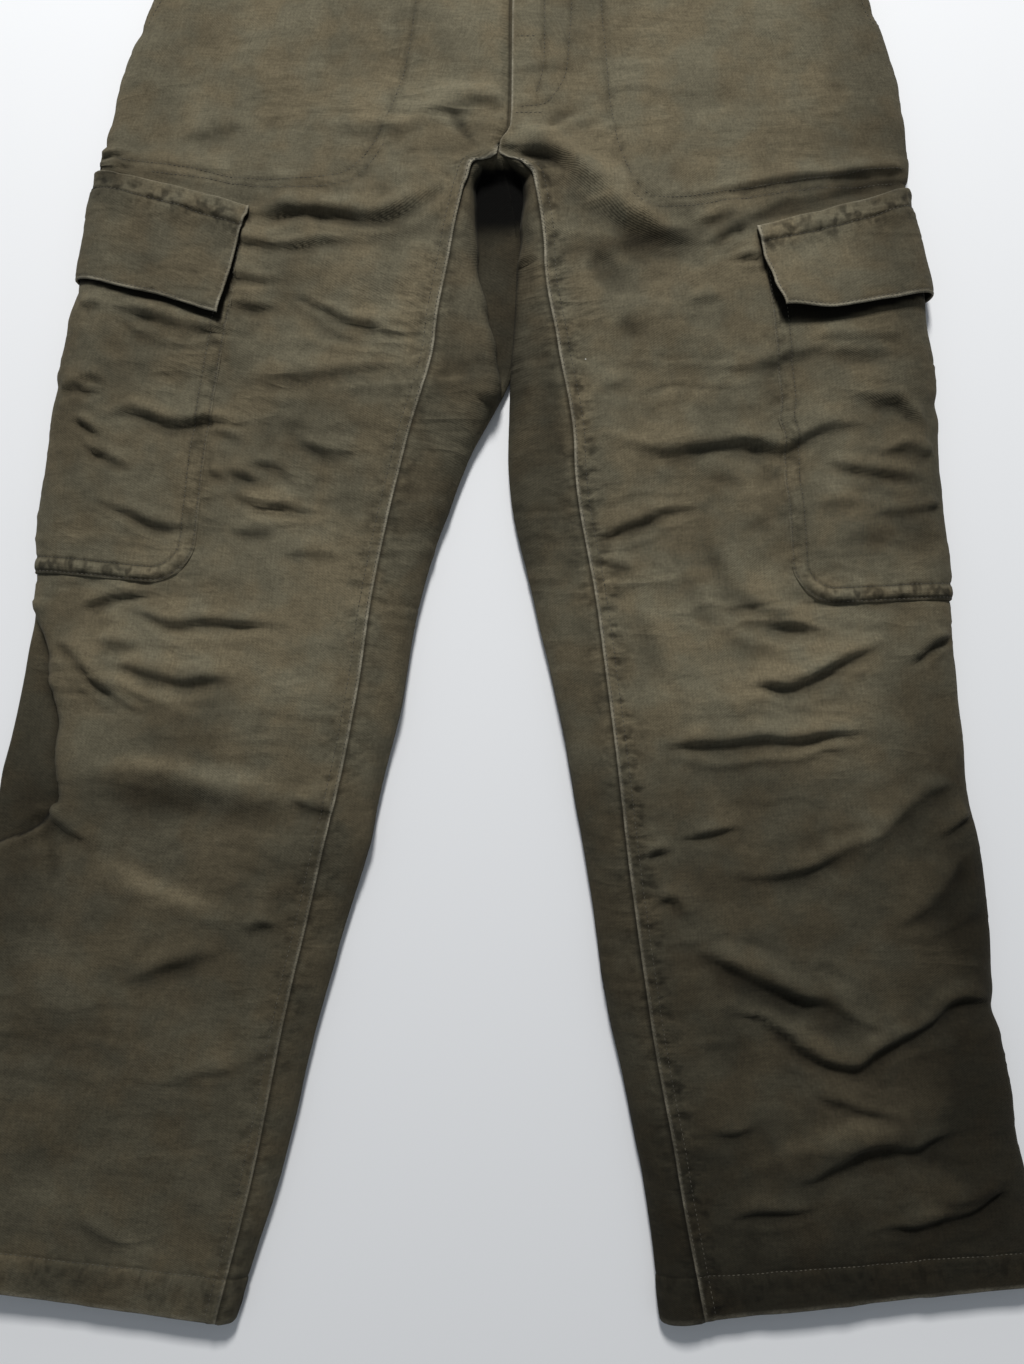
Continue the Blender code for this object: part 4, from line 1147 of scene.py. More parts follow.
@dataclass(frozen=True)
class WearAndPaintedLight:
    """Where the cloth is faded, given painted highlights and painted shade along its creases, rubbed pale at
    an edge, or given painted shade inside a hollow.
    """

    blotch: Noise = Noise(21)
    rub: Noise = Noise(22)
    fold_reach: Point2 = (0.015, 0.085)     # the outer fold's fading ends, by over
    streak_reach: float = 0.030
    streak_fade: float = 0.3          # at both ends, as a share of the length
    hollow_level: Point2 = (0.0075, 0.0125)     # low cloth gets painted shade, by height
    hollow_middle: float = 0.028
    hollow_half: Point2 = (0.030, 0.036)
    hollow_start: Point2 = (0.070, 0.110)       # along Y
    hollow_dark: Point2 = (0.180, 0.200)

    def fade(self, leg: Leg, downs: Array, overs: Array, x: Array, y: Array) -> Array:
        """Fading of the cloth, with the painted highlights and painted shade of the streaks along the
        creases.

        Args:
            leg: the leg.
            downs: distances below the crotch line.
            overs: distances round the leg.
            x: places along X.
            y: places along Y.

        Returns:
            From 0, dark and fresh, to 1, the palest.
        """
        fading = FADING[leg.side]
        amount = read_curve(fading.along, downs)
        amount = amount - read_curve(fading.outer, downs) * ebb(overs, *self.fold_reach)
        strip = ramp(overs - leg.seam(downs), *SEAM_START)
        amount = amount - read_curve(fading.strip, downs) * strip + patches(FADE_PATCHES, x, y)
        # painted highlights and painted shade along the creases
        for half, more, points in PAINTED_LIGHT_STREAKS:
            path = plan_path(points, 3)
            near = near_path(path, x, y, self.streak_reach)
            if near.any():
                across, share = across_path(path, x[near], y[near])
                taper = ramp(share, 0.0, self.streak_fade) * ebb(share, 1.0 - self.streak_fade, 1.0)
                amount[near] += more * bell(across, half * MM) * taper
        uneven = 0.10 * self.blotch(x, y, 0.07, 0.05) + 0.05 * self.blotch(y, x, 0.02, 0.02)
        return amount + uneven * (0.35 + 0.65 * ramp(amount, 0.0, 0.8))

    def edge(self, distance: Array, x: Array, y: Array, width: float = 1.4 * MM) -> Array:
        """Rubbing along an edge.

        Args:
            distance: distances from the edge.
            x: places along X.
            y: places along Y.
            width: half width of the rubbed strip.

        Returns:
            From 0 to 1, where it is rubbed most.
        """
        patchy = 0.55 + 0.45 * ramp(self.rub(x, y, 0.012, 0.012), -0.5, 0.6)
        return patchy * bell(distance, width)

    def hollow(self, points: Array) -> Array:
        """Painted shade of the low cloth between the legs: the light that reaches it, least right below the
        crotch.

        Args:
            points: points of the cloth.

        Returns:
            1 where all of it does.
        """
        x, y, z = points[..., 0], points[..., 1], points[..., 2]
        y = y + 3.5 * MM * self.rub(x, y, 0.014, 0.014)
        low = ebb(z, *self.hollow_level) * ebb(np.abs(x - self.hollow_middle), *self.hollow_half)
        return 1.0 - low * (0.58 * ramp(y, *self.hollow_start) + 0.41 * ramp(y, *self.hollow_dark))


WEAR_AND_PAINTED_LIGHT = WearAndPaintedLight()


def pucker(along: Array, across: Array, pitch: float = 9.0 * MM) -> Array:
    """Gathers that a seam draws up, between -1 and 1."""
    return PUCKER(along, across, pitch, 0.016) + 0.5 * PUCKER(along + 0.3, across, 0.55 * pitch,
                                                              0.010)


def roll(radius: float, columns: int = ROLL_STEPS) -> tuple[Array, Array]:
    """Half turn of a folded edge: how far it goes on, and how far it drops below the face."""
    turn = np.linspace(0.0, math.pi, columns + 1)[1:]
    return radius * np.sin(turn), -radius * (1.0 - np.cos(turn))


@dataclass
class Columns:
    """Columns of a cloth grid: where each is read on every row, and how it is moved."""

    overs: Array
    pushes: Array
    rises: Array

    @classmethod
    def flat(cls, *overs: Array) -> "Columns":
        """Columns that aren't moved."""
        joined = np.hstack(overs)
        return cls(joined, np.zeros_like(joined), np.zeros_like(joined))

    @classmethod
    def turned_under(cls, edge: Array, radius: Array, inside: Array) -> "Columns":
        """Columns of an edge that is folded under.

        Args:
            edge: where the fold ends, on every row.
            radius: radius of the fold, on every row.
            inside: distances from the fold of the columns inside.

        Returns:
            The columns, from the fold to the raw edge.
        """
        on, fall = roll(1.0)
        none = np.zeros((len(edge), inside.size))
        return cls(np.hstack([np.repeat(edge - radius, on.size, 1), edge - radius - inside]),
                   np.hstack([on * radius, none]), np.hstack([fall * radius, none - 2 * radius]))

    def mirrored(self) -> "Columns":
        """The same columns at the other edge of the cloth."""
        return Columns(-self.overs[:, ::-1], -self.pushes[:, ::-1], self.rises[:, ::-1])

    def beside(self, other: "Columns") -> "Columns":
        """These columns and then others."""
        return Columns(np.hstack([self.overs, other.overs]), np.hstack([self.pushes, other.pushes]),
                       np.hstack([self.rises, other.rises]))


def panel_rows() -> tuple[Array, Array, Array]:
    """Rows of a panel and its turned-up hem, closer at the stitches of the hem.

    Returns:
        Distances below the crotch line where they are read, moves down the leg, and rises.
    """
    end = HEM - HEM_ROLL
    downs = np.linspace(WAIST_SEAM, end, int(round((end - WAIST_SEAM) / CELL)) + 1)
    downs = np.append(downs[np.abs(downs - HEM_STITCH) > CELL],
                      HEM_STITCH + mm(-1.6, -0.8, 0.0, 0.8, 1.6))
    on, drop = roll(HEM_ROLL)
    inside = mm(2.0, 5.0, 10.0, 15.0, 20.0, 24.0)
    reads = np.concatenate([np.unique(downs), np.full(on.size, end), end - inside])
    drops = np.concatenate([np.zeros(downs.size), on, np.zeros(inside.size)])
    rises = np.concatenate([np.zeros(downs.size), drop, np.full(inside.size, -2 * HEM_ROLL)])
    return reads, drops, rises


def slant_over(downs: Array) -> Array:
    """Distance from the outer fold to the slant pocket opening, which ends at the side seam."""
    return np.maximum(OUTSEAM, SLANT_AT_WAIST * (downs - SLANT_END) / (WAIST_SEAM - SLANT_END))


# ------------------------------------------------------------------ panels
@dataclass
class Part:
    """One cloth part of a leg."""

    cloth: Cloth
    kind: ClassVar[str] = ""

    @property
    def name(self) -> str:
        """Name of the piece."""
        return f"{self.cloth.leg.side.word}_{self.kind}"

    def extra(self, downs: Array, overs: Array) -> Array:
        """Rise of the part's outer face over the plain cloth."""
        raise NotImplementedError

    def skin(self, downs: Array, overs: Array) -> tuple[Array, Array]:
        """Points of the outer face with their normals."""
        return self.cloth.lay(downs, overs, self.extra(downs, overs))

    def build(self) -> bpy.types.Object:
        """Make the piece."""
        raise NotImplementedError


@dataclass
class FrontPanel(Part):
    """Front of one leg, from the side seam over the outer fold to the fly and the inseam."""

    kind: ClassVar[str] = "front_panel"
    edge_roll: float = 1.3 * MM
    seam_roll: float = 1.15 * MM
    lip: float = 0.8 * MM             # the seam's edge
    lip_width: float = 7.0 * MM
    pucker_height: float = 0.5 * MM
    rolled: Point2 = (0.018, 0.030)   # fuller beside the crotch: middle and half length
    placket: float = 0.5 * MM
    placket_side: Point2 = (0.036, 0.038)
    placket_end: Point2 = (-0.034, -0.028)
    sink: float = 3.0 * MM            # of the right front, under the fly
    underlap: float = 22.0 * MM
    seam_rows: Point2 = (2.0 * MM, 7.6 * MM)    # of stitches, from the seam and the slant pocket
    slant_rows: Point2 = (2.2 * MM, 8.0 * MM)
    slant_groove: float = 7.0 * MM
    side_row: float = 2.4 * MM
    # Millimetres from an edge, of the columns beside it and of those turned under
    near_seam: tuple[float, ...] = (9.5, 8.0, 7.0, 6.2, 5.4, 4.6, 3.7, 2.9, 2.1, 1.4, 0.7, 0.0)
    near_edge: tuple[float, ...] = (0.0, 0.8, 1.7, 2.8, 4.2, 6.0)
    turned_seam: tuple[float, ...] = (3.0, 7.0, 14.0)
    turned_edge: tuple[float, ...] = (3.0, 8.0, 14.0)

    @property
    def strength(self) -> float:
        """How much its inseam gathers the panel."""
        return 1.0 if self.cloth.leg.side is Side.LEFT else 0.55

    def columns(self, downs: Array) -> Columns:
        """Columns of the panel on each row.

        Args:
            downs: the rows.

        Returns:
            The columns, from the side to the seam.
        """
        leg = self.cloth.leg
        start, seam = slant_over(downs)[:, None], leg.seam(downs)[:, None]
        fly = ebb(downs, *FLY_JOIN)[:, None]
        radius = self.seam_roll + (self.edge_roll - self.seam_roll) * fly
        left = start + self.edge_roll + mm(*self.near_edge)
        right = seam - radius - mm(*self.near_seam)
        share = np.linspace(0.0, 1.0, MIDDLE_COLUMNS + 2)[1:-1]
        middle = left[:, -1:] + (right[:, :1] - left[:, -1:]) * share
        edge = Columns.turned_under(-start, np.full_like(start, self.edge_roll),
                                    mm(*self.turned_edge))
        found = edge.mirrored().beside(Columns.flat(left, middle, right))
        last = Columns.turned_under(seam, radius, mm(*self.turned_seam))
        if leg.side is Side.RIGHT:
            last = self.under_fly(downs, seam, radius, fly, last)
            sunk = ramp(seam - found.overs, FLY_SINK, FLY_STEP)
            found.rises = found.rises - self.sink * (1.0 - sunk) * fly
        return found.beside(last)

    def under_fly(self, downs: Array, seam: Array, radius: Array, fly: Array,
                  last: Columns) -> Columns:
        """Last columns of the right front: under the fly above the crotch, an edge below it.

        Args:
            downs: the rows.
            seam: where the seam is on them.
            radius: radius of the folded edge.
            fly: 1 on the rows of the fly, 0 below it.
            last: the columns as they are below the fly.

        Returns:
            The columns.
        """
        reach = self.underlap * ebb(downs, *UNDERLAP_END)[:, None]
        steps = np.linspace(0.0, 1.0, last.overs.shape[1] + 1)[1:]
        overs = seam - radius * (1.0 - fly) + (radius * fly + reach) * steps * fly
        return Columns(overs * fly + last.overs * (1.0 - fly), last.pushes * (1.0 - fly),
                       -self.sink * fly * fly + last.rises * (1.0 - fly))

    def extra(self, downs: Array, overs: Array) -> Array:
        """Rise of the panel over the plain cloth: the seam's edge, the placket and the hem.

        Args:
            downs: distances below the crotch line.
            overs: distances round the leg.

        Returns:
            The rise.
        """
        leg = self.cloth.leg
        away = leg.seam(downs) - overs
        below = ramp(downs, *SEAM_START)
        rise = self.lip * ebb(away, self.lip_width - 1.6 * MM, self.lip_width) * below
        gather = pucker(downs, away) * bell(away - 9.0 * MM, 12.0 * MM)
        rise = rise + self.pucker_height * self.strength * gather * below
        rolled = (2.2 if leg.side is Side.RIGHT else 1.2) * MM
        middle, half = self.rolled
        rise = rise + rolled * bell(downs - middle, half) * ebb(away, 8.0 * MM, 14.0 * MM)
        if leg.side is Side.LEFT:
            placket = ebb(away, *self.placket_side)
            rise = rise + self.placket * placket * ebb(downs, *self.placket_end)
        rise = rise + hem_rise(downs, overs)
        slant = overs - slant_over(downs) - self.slant_groove
        return rise - 0.35 * MM * bell(slant, 1.6 * MM) * (downs < SLANT_END)

    def build(self) -> bpy.types.Object:
        """Make the panel.

        Returns:
            The new piece.
        """
        leg = self.cloth.leg
        downs, drops, falls = panel_rows()
        columns = self.columns(downs)
        overs = columns.overs
        grid = np.repeat(downs[:, None], overs.shape[1], 1)
        rise = self.extra(grid, overs) + columns.rises + falls[:, None]
        plain = leg.surface(grid, overs)
        marked, _, _ = sewn_lines(FLY_LINES + BAG_LINES, plain[..., 0], plain[..., 1])
        points, _ = self.cloth.lay(grid, overs, rise + marked * (overs > 0.0), columns.pushes,
                                   drops[:, None])
        x, y = points[..., 0], points[..., 1]
        uv = np.stack([overs + columns.pushes, grid + drops[:, None]], axis=-1)
        _, close, drawn = sewn_lines(FLY_LINES + BAG_LINES, x, y)
        top = overs > 0.0
        # painted shade in the grooves of the sewn lines, and under and beside the flap
        marks = Marks(
            fade=WEAR_AND_PAINTED_LIGHT.fade(leg, grid, overs, x, y), wearandpaintedlight=self.worn(grid, uv, x, y),
            shade=(1.0 - 0.30 * close * top) * flap_shadow(leg, grid, overs),
            pull_x=self.pull(grid, overs, leg.seam(grid) - uv[..., 0], 0.2 * drawn * top),
            pull_y=hem_pull(grid) + 0.3 * drawn * top)
        if leg.side is Side.RIGHT:
            self.darken(marks, grid, overs, leg.seam(grid) - uv[..., 0])
        piece = grid_object(self.name, points, uv, marks, leg.side)
        thicken(piece, CLOTH)
        return piece

    def worn(self, grid: Array, uv: Array, x: Array, y: Array) -> Array:
        """Rubbing along the edges of the panel.

        Args:
            grid: distance below the crotch line of each point.
            uv: its distances across and down the cloth, with the folded edges.
            x: its place along X.
            y: its place along Y.

        Returns:
            How much each point is rubbed.
        """
        leg = self.cloth.leg
        away = leg.seam(grid) - uv[..., 0]
        above = 0.0 if leg.side is Side.RIGHT else 0.9 * WEAR_AND_PAINTED_LIGHT.edge(away - 0.3 * MM, x, y, 0.9 * MM)
        thin = 1.0 - 0.5 * ramp(grid, 0.30, 0.60)
        worn = np.where(grid < -0.004, above, thin * WEAR_AND_PAINTED_LIGHT.edge(away - 0.4 * MM, x, y))
        arch = ramp(grid, -0.002, 0.002) * ebb(grid, 0.010, 0.030)
        worn = worn + 1.1 * arch * WEAR_AND_PAINTED_LIGHT.edge(away - 1.5 * MM, x, y, 1.5 * MM)
        slant = WEAR_AND_PAINTED_LIGHT.edge(uv[..., 0] - slant_over(grid), x, y)
        worn = worn + 0.8 * slant * (grid < SLANT_END)
        return worn + 0.6 * WEAR_AND_PAINTED_LIGHT.edge(uv[..., 1] - HEM, x, y, 2.0 * MM)

    def pull(self, grid: Array, overs: Array, away: Array, drawn: Array) -> Array:
        """Gathers of the seams that run down the panel.

        Args:
            grid: distance below the crotch line of each point.
            overs: its distance round the leg.
            away: its distance from the inseam.
            drawn: gathers of the sewn lines.

        Returns:
            How much each point is gathered.
        """
        below = ramp(grid, *SEAM_START)
        pull = (1.8 * self.strength * bell(away - 8.0 * MM, 9.0 * MM) * below + drawn
                + 0.5 * bell(overs - OUTSEAM, 8.0 * MM)
                + 0.5 * bell(overs - slant_over(grid) - 5.0 * MM, 6.0 * MM) * (1.0 - below))
        beside = ramp(grid, 0.120, 0.150) * ebb(grid, POCKET_BOTTOM - 0.03, POCKET_BOTTOM)
        return pull + 0.7 * bell(overs - POCKET_REACH - 2.0 * MM, 5.0 * MM) * beside

    def darken(self, marks: Marks, grid: Array, overs: Array, away: Array) -> None:
        """Paint shade into the gap beside the fly, the corner below the pocket and the low ledge beside the
        outer fold.

        Args:
            marks: the numbers to change.
            grid: distance below the crotch line of each point.
            overs: its distance round the leg.
            away: its distance from the centre front.
        """
        marks.shade = marks.shade * (1.0 - 0.92 * bell(away - 0.4 * MM, 1.7 * MM) * (grid < -0.003))
        ledge = read_curve(self.cloth.leg.ledge_out, grid)
        corner = bell(overs - ledge - 2.5 * MM, 5.6 * MM) * ramp(ledge, 0.004, 0.014)
        marks.shade = marks.shade * (1.0 - 0.93 * corner)
        low = ebb(overs, ledge - 4.0 * MM, ledge) * ramp(ledge, 0.002, 0.014)
        marks.shade = marks.shade * (1.0 - 0.42 * low)


HEM_LIFT = 0.6 * MM       # of the turned-up cloth
HEM_WAVES = 0.55 * MM
HEM_GROOVE = 0.7 * MM


def hem_pull(downs: Array) -> Array:
    """How much the hem and the waist seam gather the cloth."""
    return bell(downs - HEM_STITCH - 8.0 * MM, 12.0 * MM) + 0.6 * bell(downs - WAIST_SEAM, 9.0 * MM)


def hem_rise(downs: Array, overs: Array) -> Array:
    """Rise of a leg's hem: its turned-up cloth, the stitched line and the gathers between.

    Args:
        downs: distances below the crotch line.
        overs: distances round the leg.

    Returns:
        The rise.
    """
    inside = ramp(downs, HEM_STITCH - 1.0 * MM, HEM_STITCH + 2.0 * MM)
    waves = pucker(overs, downs, 11.0 * MM) * bell(downs - HEM_STITCH - 9.0 * MM, 13.0 * MM)
    return HEM_LIFT * inside + HEM_WAVES * waves - HEM_GROOVE * bell(downs - HEM_STITCH, 1.3 * MM)


@dataclass
class BackPanel(Part):
    """Back of one leg: the underside, the inner fold, and the top of the leg to the inseam."""

    kind: ClassVar[str] = "back_panel"
    tuck: float = 4.0 * MM            # under the front panel, at the seams
    tuck_depth: float = 2.7 * MM
    groove: float = 1.0 * MM
    lap: float = 1.8 * MM
    # Millimetres from the side, the inner fold, the top's edge and the seam, of closer columns
    near_side: tuple[float, ...] = (0.0, 1.8, 3.4, 4.8, 6.5)
    near_fold: tuple[float, ...] = (9.0, 6.6, 4.8, 3.4, 2.2, 1.1, 0.0)
    at_crotch: tuple[float, ...] = (0.0, 1.8, 4.0)
    at_fold: tuple[float, ...] = (1.2, 2.6, 4.4)
    near_seam: tuple[float, ...] = (4.0, 3.2, 2.4, 1.8, 1.2, 0.6, 0.1, -0.5, -1.2, -2.0)

    def extra(self, downs: Array, overs: Array) -> Array:
        """Rise over the plain cloth: sunk beside its seams, raised at the hem.

        Args:
            downs: distances below the crotch line.
            overs: distances round the leg.

        Returns:
            The rise.
        """
        past = overs - self.cloth.leg.seam(downs)
        seam = ebb(past, 0.3 * MM, 2.2 * MM)
        under = ebb(past, -1.2 * MM, 0.3 * MM)
        rise = np.where(overs > 0.0, -self.groove * seam
                        - (self.tuck_depth - self.groove) * under, 0.0)
        side = self.tuck_depth * ebb(OUTSEAM - overs, -1.2 * MM, 0.8 * MM)
        rise = rise - np.where(overs > 0.0, 0.0, side * ramp(downs, *SIDE_START))
        waves = 0.3 * MM * pucker(downs, past) * bell(past - 5.0 * MM, 8.0 * MM) * (overs > 0.0)
        return rise + waves * ramp(past, 0.0, 3.0 * MM) + hem_rise(downs, overs)

    def underside(self, downs: Array) -> Array:
        """Places of the columns underneath, from the side to the inner fold, on every row.

        Args:
            downs: the rows.

        Returns:
            Distances round the leg, rows by columns.
        """
        start = OUTSEAM + self.tuck * ramp(downs, *SIDE_START)
        first = start[:, None] - mm(*self.near_side)
        last = -self.cloth.leg.under_end(downs)[:, None] + mm(*self.near_fold)
        share = np.linspace(0.0, 1.0, UNDER_COLUMNS + 2)[1:-1]
        return np.hstack([first, first[:, -1:] + (last[:, :1] - first[:, -1:]) * share, last])

    def strip(self, downs: Array) -> Array:
        """Places of the columns on top, from the inner fold to the inseam, on every row.

        Args:
            downs: the rows.

        Returns:
            Distances round the leg, rows by columns.
        """
        leg, lower = self.cloth.leg, np.maximum(downs, BAND_START)
        close = mm(*self.near_seam, -self.tuck / MM)
        begin = leg.top_end(lower)[:, None] - np.where((downs < FORK_END)[:, None], self.at_crotch,
                                                       self.at_fold) * MM
        finish = np.minimum(leg.seam(lower)[:, None] + close, begin[:, -1:] - close[::-1] * 0.05)
        share = np.linspace(0.0, 1.0, BAND_COLUMNS + 2)[1:-1]
        return np.hstack([begin, begin[:, -1:] + (finish[:, :1] - begin[:, -1:]) * share, finish])

    def build(self) -> bpy.types.Object:
        """Make the panel.

        Returns:
            The new piece.
        """
        leg = self.cloth.leg
        downs, drops, falls = panel_rows()
        under = self.underside(downs)
        split = under.shape[1]
        overs = np.hstack([under, self.strip(downs)])
        grid = np.repeat(downs[:, None], overs.shape[1], 1)
        reads = grid.copy()
        reads[:, split:] = np.maximum(reads[:, split:], BAND_START)
        push = np.zeros_like(overs)
        if leg.side is Side.RIGHT:
            push[:, split] = self.lap * (downs < FORK_END)
        points, _ = self.cloth.lay(reads, overs, self.extra(reads, overs) + falls[:, None], push,
                                   drops[:, None])
        middle = 0.5 * (downs[:-1] + downs[1:])
        kept = np.ones((len(downs) - 1, overs.shape[1] - 1), bool)
        kept[:, split:] = middle[:, None] >= BAND_START
        kept[:, split - 1] = middle >= FORK_END
        x, y = points[..., 0], points[..., 1]
        uv = np.stack([overs, grid + drops[:, None]], axis=-1)
        past, top = overs - leg.seam(grid), overs > 0.0
        # painted shade between the legs and in the groove beside the inseam
        beside = WEAR_AND_PAINTED_LIGHT.hollow(points) * (1.0 - 0.6 * bell(past - 0.9 * MM, 1.3 * MM))
        marks = Marks(fade=WEAR_AND_PAINTED_LIGHT.fade(leg, grid, overs, x, y),
                      wearandpaintedlight=0.35 * WEAR_AND_PAINTED_LIGHT.edge(uv[..., 1] - HEM, x, y, 2.0 * MM),
                      shade=np.where(top, beside, 1.0),
                      pull_x=0.9 * bell(past - 4.0 * MM, 8.0 * MM) * top, pull_y=hem_pull(grid))
        piece = grid_object(self.name, points, uv, marks, leg.side, kept)
        thicken(piece, CLOTH)
        return piece


@dataclass
class HipPocket(Part):
    """Cloth behind the slant pocket opening, from the side seam to under the front panel."""

    kind: ClassVar[str] = "hip_pocket"
    tuck: float = 2.0 * MM
    sink: float = 3.2 * MM
    behind: float = 30.0 * MM
    rows: int = 64
    columns: int = 26

    def extra(self, downs: Array, overs: Array) -> Array:
        """Depth of the pocket behind the plain cloth, with its gathers."""
        waves = 0.3 * MM * pucker(downs, overs) * bell(overs - OUTSEAM - 6.0 * MM, 10.0 * MM)
        return waves - self.sink

    def build(self) -> bpy.types.Object:
        """Make the pocket's cloth.

        Returns:
            The new piece.
        """
        leg = self.cloth.leg
        downs = np.linspace(WAIST_SEAM + 1.5 * MM, FLY_END, self.rows)
        start, end = OUTSEAM - self.tuck, slant_over(downs)[:, None] + self.behind
        overs = start + (end - start) * np.linspace(0.0, 1.0, self.columns)
        grid = np.repeat(downs[:, None], self.columns, 1)
        points, _ = self.skin(grid, overs)
        marks = Marks(fade=WEAR_AND_PAINTED_LIGHT.fade(leg, grid, overs, points[..., 0], points[..., 1]) - 0.2,
                      pull_x=0.6 * bell(overs - OUTSEAM - 4.0 * MM, 7.0 * MM))
        piece = grid_object(self.name, points, np.stack([overs, grid], axis=-1), marks, leg.side)
        thicken(piece, CLOTH)
        return piece


# ------------------------------------------------------------------ cargo pockets
@dataclass
class CargoPocket(Part):
    """Patch pocket round the outer fold, sewn down with two rows along its sides and bottom."""

    kind: ClassVar[str] = "cargo_pocket"
    reach: float = POCKET_REACH
    bottom: float = POCKET_BOTTOM
    corner: float = 30.0 * MM
    first_row: float = 1.6 * MM       # of stitches, from the edge
    second_row: float = 10.4 * MM
    between: float = 6.0 * MM         # middle of the gathered strip between them
    thickness: float = 1.3 * MM
    spacing: float = 2.3 * MM
    belly: float = 1.1 * MM
    near_edge: tuple[float, ...] = (0.0, 0.5, 1.1, 1.7, 2.4, 3.4, 4.9, 6.6, 8.2, 9.6, 10.4, 11.2,
                                    12.4)

    def side_at(self, downs: Array) -> Array:
        """Half width of the pocket, less at its rounded lower corners."""
        drop = np.clip(downs - (self.bottom - self.corner), 0.0, self.corner) / self.corner
        return self.reach - self.corner * 0.92 * (1.0 - np.sqrt(1.0 - (0.995 * drop) ** 2))

    def inset(self, downs: Array, overs: Array) -> Array:
        """Distance from the pocket's sewn edge, inwards.

        Args:
            downs: distances below the crotch line.
            overs: distances round the leg.

        Returns:
            The distance, negative outside.
        """
        away_side = self.reach - np.abs(overs)
        away_low = self.bottom - downs
        in_x, in_y = self.corner - away_side, self.corner - away_low
        both = (in_x > 0.0) & (in_y > 0.0)
        return np.where(both, self.corner - np.hypot(in_x, in_y), np.minimum(away_side, away_low))

    def extra(self, downs: Array, overs: Array) -> Array:
        """Rise of the pocket's outer face over the panel.

        Args:
            downs: distances below the crotch line.
            overs: distances round the leg.

        Returns:
            The rise.
        """
        inset = self.inset(downs, overs)
        base = GAP + self.thickness
        low = ramp(downs, self.bottom - 0.030, self.bottom - 0.008)
        side = 0.12 + 0.88 * ramp(inset, 0.0, 12.0 * MM)
        edge = quarter_round(inset + 0.1 * MM, 1.5 * MM)
        edge = edge * (side + (1.0 - side) * low)
        grooves = (bell(inset - self.first_row, 1.0 * MM)
                   + bell(inset - self.second_row, 1.2 * MM))
        band = bell(inset - self.between, 3.6 * MM)
        bottom = np.clip((downs - self.bottom + 0.02) / 0.012, 0.0, 1.0)
        along = np.where(bottom > 0.5, overs, downs)
        gather = pucker(along, inset + 0.3, 8.0 * MM)
        gather = gather * bell(inset - self.between, 7.0 * MM)
        return (base * (0.15 + 0.85 * edge) - (0.12 + 0.58 * low) * MM * grooves
                + 0.60 * bottom * MM * band + (0.28 + 0.45 * bottom) * MM * gather
                + self.belly * ramp(inset, 0.010, 0.034))

    def build(self) -> bpy.types.Object:
        """Make the pocket.

        Returns:
            The new piece.
        """
        leg = self.cloth.leg
        close = mm(*self.near_edge)
        rows = np.linspace(POCKET_TOP, self.bottom - close[-1], int(0.25 / self.spacing))
        downs = np.concatenate([rows[:-1], self.bottom - close[::-1]])
        reach = self.side_at(downs)[:, None]
        count = int(2 * self.reach / self.spacing) - 8
        share = np.linspace(-1.0, 1.0, count + 2)[1:-1]
        overs = np.hstack([-reach + close, (reach - close[-1]) * share, reach - close[::-1]])
        grid = np.repeat(downs[:, None], overs.shape[1], 1)
        points, _ = self.skin(grid, overs)
        x, y = points[..., 0], points[..., 1]
        inset = self.inset(grid, overs)
        low = ramp(grid, self.bottom - self.corner, self.bottom - 0.4 * self.corner)
        low = low * (1.0 - 0.5 * ramp(np.abs(overs), self.reach - self.corner, self.reach))
        pull = (1.2 + 1.4 * low) * bell(inset - 5.5 * MM, (6.5 - 1.5 * low) * MM)
        rows = bell(inset - self.first_row, 0.9 * MM) + bell(inset - self.second_row, 0.9 * MM)
        # painted shade in the grooves of the two stitch rows, and under and beside the flap
        marks = Marks(fade=WEAR_AND_PAINTED_LIGHT.fade(leg, grid, overs, x, y) + 0.04,
                      wearandpaintedlight=0.08 * WEAR_AND_PAINTED_LIGHT.edge(inset - 0.3 * MM, x, y),
                      shade=(1.0 - (0.26 + 0.36 * low) * rows) * flap_shadow(leg, grid, overs),
                      pull_x=pull * (1.0 - low), pull_y=pull * low)
        piece = grid_object(self.name, points, np.stack([overs, grid], axis=-1), marks, leg.side)
        thicken(piece, self.thickness - 0.1 * MM)
        return piece


@dataclass(frozen=True)
class FlapShape:
    """Outline of a flap, and the shadow that it casts."""

    top: tuple[Point2, ...]           # over and down of the sewn edge
    low: tuple[Point2, ...]           # over and down of the free edge
    sides: tuple[Point2, ...]         # half width, by share from the sewn edge
    hover: float                      # height of the free edge over the pocket
    reach: float                      # of the shadow past the free edge, in millimetres
    inner: Point2                     # the shadow widens between these two distances
    above: float                      # shade over the sewn edge
    paler: float                      # fading, for that of the leg


FLAP_DARK = 0.88          # light lost under a flap
FLAP_EDGE = 2.0           # least reach of the shadow past the free edge, in millimetres
FLAP_BESIDE = 1.8 * MM    # and past its sides
FLAP_ABOVE = 6.0 * MM     # middle and half width of the shade over the sewn edge
FLAPS = {
    Side.RIGHT: FlapShape(
        ((0.0, 0.0475), (0.054, 0.0505), (0.088, 0.0540), (0.118, 0.0575)),
        ((0.0, 0.1320), (0.054, 0.1370), (0.110, 0.1430)),
        ((0.0, 0.1150), (0.45, 0.1105), (1.0, 0.1060)),
        4.0 * MM, 3.4, (0.0, 0.050), 0.30, -0.08),
    Side.LEFT: FlapShape(
        ((0.0, 0.0475), (0.046, 0.0565), (0.080, 0.0600), (0.118, 0.0635)),
        ((0.0, 0.1275), (0.032, 0.1315), (0.070, 0.1335), (0.106, 0.1275)),
        ((0.0, 0.1165), (0.35, 0.1145), (0.70, 0.1105), (1.0, 0.1055)),
        8.5 * MM, 8.5, (0.015, 0.100), 0.42, 0.04),
}


